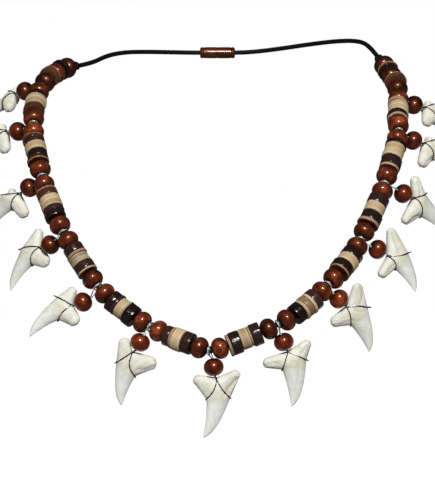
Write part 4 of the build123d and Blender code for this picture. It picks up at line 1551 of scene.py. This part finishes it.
    def build(self, material: bpy.types.Material) -> bpy.types.Object:
        """Makes the wire.

        Args:
            material: its material.

        Returns:
            The object.
        """
        tooth = self.tooth
        along = self.run.along(tooth.number)
        aside = unit(along - tooth.bead_axis * (along @ tooth.bead_axis)) * self.spacing / 2
        half = tooth.bead_axis * tooth.bead_length / 2
        top, bottom = tooth.bead - half, tooth.bead + half
        points = np.concatenate([
            tooth.place(self.tie(-1))[::-1],
            self.twist(-1, bottom, aside)[::-1],
            [bottom - aside, top - aside],
            self.loops(),
            [top + aside, bottom + aside],
            self.twist(1, bottom, aside),
            tooth.place(self.tie(1)),
        ])
        path = by_length(smooth_line(points, len(points) * 4), np.linspace(0, 1, 480))
        grid = capped(tube(path, self.radius, 10))
        surface = Surface(f"steel_wire_{tooth.number:02d}")
        surface.add(grid, (False, True), shine=self.shine(grid, path, bottom))
        return surface.build_piece(material, f"tooth_wire_{tooth.number:02d}")


@dataclass
class Knot:
    """The overhand knot that stops the beads at one end, with frayed fibres."""

    side: str
    seat: np.ndarray
    outward: np.ndarray
    fibres: int = 26
    cord_radius: float = 0.72
    core_radius: float = 0.85
    fibre_radius: float = 0.10
    fibre_lengths: tuple[float, float] = (1.4, 2.9)
    fibre_lean: float = 0.9
    fibre_bend: float = 0.25
    fibre_start: float = 0.4
    spread: float = 0.4032
    swing: float = 0.85
    length: float = 3.5

    def build(self, material: bpy.types.Material) -> bpy.types.Object:
        """Makes the knot: a tube along a trefoil line, whose radius waves three times in two turns, and thin
        tapering fibres that spring from it.

        Args:
            material: its material.

        Returns:
            The object.
        """
        first, second = axes_beside(self.outward)
        t = np.linspace(0, 2 * np.pi, 120, endpoint=False)[:, None]
        x = np.sin(t) + 2 * np.sin(2 * t)
        y = np.cos(t) - 2 * np.cos(2 * t)
        centre = self.seat + self.outward * self.length / 2
        path = centre + self.spread * (x * first + y * second) - self.swing * np.sin(3 * t) * self.outward
        surface = Surface(f"knot_{self.side}")
        closed = np.concatenate([path, path[:1]])
        surface.add(tube(closed, self.cord_radius, 14)[:-1], (True, True))
        core = centre + self.outward * np.linspace(-0.5, 0.5, 12)[:, None] * self.length
        surface.add(capped(tube(core, self.core_radius, 14)), (False, True))
        rng = np.random.default_rng(5 if self.side == "left" else 9)
        travel = np.linspace(0, 1, 7)[:, None]
        taper = self.fibre_radius * (1.02 - travel[:, 0])
        root = centre + self.outward * self.fibre_start
        for _ in range(self.fibres):
            lean = unit(rng.normal(0, 1, 3) + self.outward * self.fibre_lean)
            bend = rng.normal(0, self.fibre_bend, 3)
            reach = rng.uniform(*self.fibre_lengths)
            line = root + lean * reach * travel + bend * travel ** 2
            surface.add(capped(tube(line, taper, 5)), (False, True))
        return surface.build_piece(material, f"end_knot_{self.side}", 60)


@dataclass
class NeckCord:
    """The bare cord from one knot round the nape into the clasp, a smooth spline with the route's points."""

    side: str
    start: np.ndarray
    route: list[Triple]
    socket: Triple
    length: float
    pieces: tuple[bpy.types.Object, ...] = ()
    diameter: float = 0.0018

    def build(self, material: bpy.types.Material) -> bpy.types.Object:
        """Args:
            material: its material.

        Returns:
            The object.
        """
        points = [tuple(float(c) for c in self.start * MM), *self.route, self.socket]
        curve = bpy.data.curves.new(f"neck_cord_{self.side}_line", "CURVE")
        curve.dimensions = "3D"
        curve.bevel_depth = self.diameter / 2
        curve.bevel_resolution = 5
        curve.resolution_u = 12
        spline = curve.splines.new("NURBS")
        spline.points.add(len(points) - 1)
        spline.points.foreach_set("co", [c for point in points for c in (*point, 1.0)])
        spline.order_u = 3
        spline.use_endpoint_u = True
        curve.materials.append(material)
        thing = bpy.data.objects.new(f"black_cord_{self.side}", curve)
        bpy.context.scene.collection.objects.link(thing)
        join(thing, f"neck_cord_{self.side}")
        return thing


@dataclass
class Studio:
    """The camera, the soft lights, the pale floor and the white surroundings."""

    camera_place: Triple = (0.0, -1.648, -0.078)
    lens: float = 299.7
    aim: Triple = (0.0, -0.10, -0.07)
    floor_height: float = -0.20
    floor_rings: tuple[float, ...] = (0.0, 0.2, 0.5, 1.5, 6.0)

    def build_camera(self) -> None:
        """Sets up the camera at the photograph's angle, level and straight ahead."""
        data = bpy.data.cameras.new("camera")
        data.lens = self.lens
        data.sensor_width = 36
        data.clip_end = 50
        camera = bpy.data.objects.new("camera", data)
        camera.location = self.camera_place
        camera.rotation_euler = (np.pi / 2, 0, 0)
        bpy.context.scene.collection.objects.link(camera)
        bpy.context.scene.camera = camera

    def build_light(self, name: str, place: Triple, size: float, power: float, mirrored: bool) -> None:
        """Sets up a square soft light that faces the necklace.

        Args:
            name: its name.
            place: where it stands, in metres.
            size: its side, in metres.
            power: its power in watts.
            mirrored: whether polished surfaces mirror it.
        """
        data = bpy.data.lights.new(name, "AREA")
        data.size = size
        data.energy = power
        light = bpy.data.objects.new(name, data)
        light.location = place
        light.visible_glossy = mirrored
        way = np.array(self.aim) - np.array(place)
        level = np.hypot(way[0], way[1])
        light.rotation_euler = (np.arctan2(level, -way[2]), 0, np.arctan2(way[0], -way[1]) + np.pi)
        bpy.context.scene.collection.objects.link(light)

    def build_floor(self) -> None:
        """Sets up a flat round floor below the necklace."""
        radius = np.array(self.floor_rings)[:, None] / MM
        angle = np.linspace(0, 2 * np.pi, 64, endpoint=False)
        height = np.full((len(radius), len(angle)), self.floor_height / MM)
        grid = np.stack([radius * np.cos(angle), radius * np.sin(angle), height], axis=-1)
        surface = Surface("floor")
        surface.add(grid, (False, True))
        surface.build(self.floor_material())

    def floor_material(self) -> bpy.types.Material:
        """A matt white floor that the camera sees a little brighter than the light makes it.

        Returns:
            The material.
        """
        n = Nodes(bpy.data.materials.new("pale_floor"))
        mottle = n.noise(n.object_place((1.0, 1.0, 1.0)), 9.0, 3, 0.5)
        colour = n.ramp(mottle, ((0.3, (0.14, 0.14, 0.14)), (0.7, (0.16, 0.16, 0.16))))
        matt = n.add("ShaderNodeBsdfDiffuse", None, {"Color": colour})
        glow = n.add("ShaderNodeEmission", None, {"Color": WHITE, "Strength": 1.0})
        seen = n.add("ShaderNodeLightPath").outputs["Is Camera Ray"]
        dark = n.add("ShaderNodeEmission", None, {"Color": (0.0, 0.0, 0.0), "Strength": 0.0})
        extra = n.add("ShaderNodeMixShader", None, {0: seen, 1: dark.outputs[0], 2: glow.outputs[0]})
        total = n.add("ShaderNodeAddShader", None, {0: matt.outputs[0], 1: extra.outputs[0]})
        n.add("ShaderNodeOutputMaterial", None, {"Surface": total.outputs[0]})
        return n.owner

    def build_world(self) -> None:
        """Sets up white surroundings, which the camera sees bright and which light the necklace dimly."""
        world = bpy.data.worlds.new("surroundings")
        bpy.context.scene.world = world
        n = Nodes(world)
        seen = n.add("ShaderNodeLightPath").outputs["Is Camera Ray"]
        dim, bright = (
            n.add("ShaderNodeBackground", None, {"Color": WHITE, "Strength": strength}).outputs[0]
            for strength in (0.03, 1.0)
        )
        mix = n.add("ShaderNodeMixShader", None, {0: seen, 1: dim, 2: bright})
        n.add("ShaderNodeOutputWorld", None, {"Surface": mix.outputs[0]})

    def build(self) -> None:
        """Sets up the lights, the floor and the surroundings."""
        for light in LIGHTS:
            self.build_light(*light)
        self.build_floor()
        self.build_world()


@dataclass
class Necklace:
    """The whole necklace, built in order."""

    round_wood: PolishedWood = PolishedWood(
        "round_wood", (0.010, 0.0020, 0.0012), (0.100, 0.0150, 0.0055), (0.42, 0.088, 0.024), 0.9)
    drop_wood: PolishedWood = PolishedWood(
        "drop_wood", (0.011, 0.0018, 0.0011), (0.098, 0.0105, 0.0038), (0.36, 0.058, 0.017), 1.0)
    clasp_wood: PolishedWood = PolishedWood(
        "clasp_wood", (0.014, 0.0040, 0.0025), (0.055, 0.014, 0.007), (0.12, 0.034, 0.014), 0.6, 0.3)
    left_length: float = 0.0752
    right_length: float = 0.0847
    socket_x: float = 0.0031
    clasp_radius: float = 2.25

    def __post_init__(self) -> None:
        """Works out where the beads sit."""
        self.run = BeadRun()

    def build_clasp(self) -> bpy.types.Object:
        """Makes the plain barrel clasp: its outline, mirrored at the middle and turned about X.

        Returns:
            The object.
        """
        half = np.array(CLASP_OUTLINE)
        x, r = np.concatenate([half, half[::-1] * (-1, 1)]).T[..., None]
        angle = np.linspace(0, 2 * np.pi, 48, endpoint=False)
        across = np.broadcast_to(x, (len(x), len(angle)))
        rings = np.stack([r * np.cos(angle), r * np.sin(angle), across], axis=-1)
        grid = np.stack([across, rings[..., 0] + self.clasp_radius, rings[..., 1]], axis=-1)
        surface = Surface("clasp_barrel")
        # rim darkens the barrel a little towards its ends, as painted shade
        rim = np.abs(across) / np.abs(x).max() * 0.2
        surface.add(grid, (False, True), grain=rings, tone=np.full(grid.shape[:2], 0.4), rim=rim)
        return surface.build_piece(self.clasp_wood.make(), "barrel_clasp", 35)

    def build_cords(self, clasp: bpy.types.Object) -> None:
        """Makes the two neck cords, which meet in the clasp, and the knots, and dresses the inner cord.

        Args:
            clasp: the clasp.
        """
        material = WaxedCord().make()
        gap, centre = self.run.loose_gap, self.clasp_radius * MM
        for side, way, end, outward, route, length, fibres in (
            ("left", -1, STRING_ROUTE[0], -self.run.leaving[0], LEFT_NECK_ROUTE, self.left_length, 10),
            ("right", 1, STRING_ROUTE[-1], self.run.arriving[-1], RIGHT_NECK_ROUTE, self.right_length, 26),
        ):
            seat = end + outward * gap
            start = seat + outward * (Knot.length + gap)
            socket = (way * self.socket_x, centre, 0.0)
            pieces = (clasp,) if side == "right" else ()
            NeckCord(side, start, route, socket, length, pieces).build(material)
            Knot(side, seat, outward, fibres).build(material)
        dress(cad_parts["bead_cord"], material)

    def build_string(self) -> None:
        """Makes the beads and discs of the string."""
        beads = self.run.beads()
        rounds = Surface("wooden_beads")
        RoundBeads().add_to(rounds, [bead for bead in beads if bead.kind is Kind.ROUND], 11)
        rounds.build_piece(self.round_wood.make(), "round_beads", 50)
        for name, kinds, chips, seed, finish in (
            ("dark", DARK_KINDS, 1.7, 23, DarkShell()),
            ("pale", PALE_KINDS, 0.75, 31, PaleShell()),
        ):
            surface = Surface(f"{name}_shell_discs")
            Discs(chips).add_to(surface, [bead for bead in beads if bead.kind in kinds], seed)
            surface.build_piece(finish.make(), f"{name}_discs", 38)

    def build_drops(self) -> None:
        """Makes each tooth with its wire and its bead."""
        tooth_look, wire_look, bead_look = ToothSurface().make(), SteelWire().make(), self.drop_wood.make()
        for number, row in enumerate(TEETH, start=1):
            tooth = Tooth(row, number)
            tooth.build(tooth_look)
            ToothWire(tooth, self.run).build(wire_look)
            surface = Surface(f"wooden_drop_{number:02d}")
            drop = Bead(Kind.ROUND, 0, tooth.bead, tooth.bead_axis, tooth.bead_length)
            RoundBeads(tooth.bead_diameter, tooth.bead_length, bore=1.8).add_to(surface, [drop], 100 + number)
            surface.build_piece(bead_look, f"drop_bead_{number:02d}", 50)


def dress(thing: bpy.types.Object, material: bpy.types.Material) -> None:
    """Gives a CAD node its material."""
    thing.data.materials.clear()
    thing.data.materials.append(material)


def main() -> None:
    """Builds the necklace in order."""
    logging.basicConfig(level=logging.INFO)
    bpy.context.scene.view_settings.view_transform = "Standard"
    studio = Studio()
    studio.build_camera()
    necklace = Necklace()
    clasp = necklace.build_clasp()
    necklace.build_cords(clasp)
    necklace.build_string()
    necklace.build_drops()
    studio.build()
    log.info("sizes written")


if __name__ == "__main__":
    main()
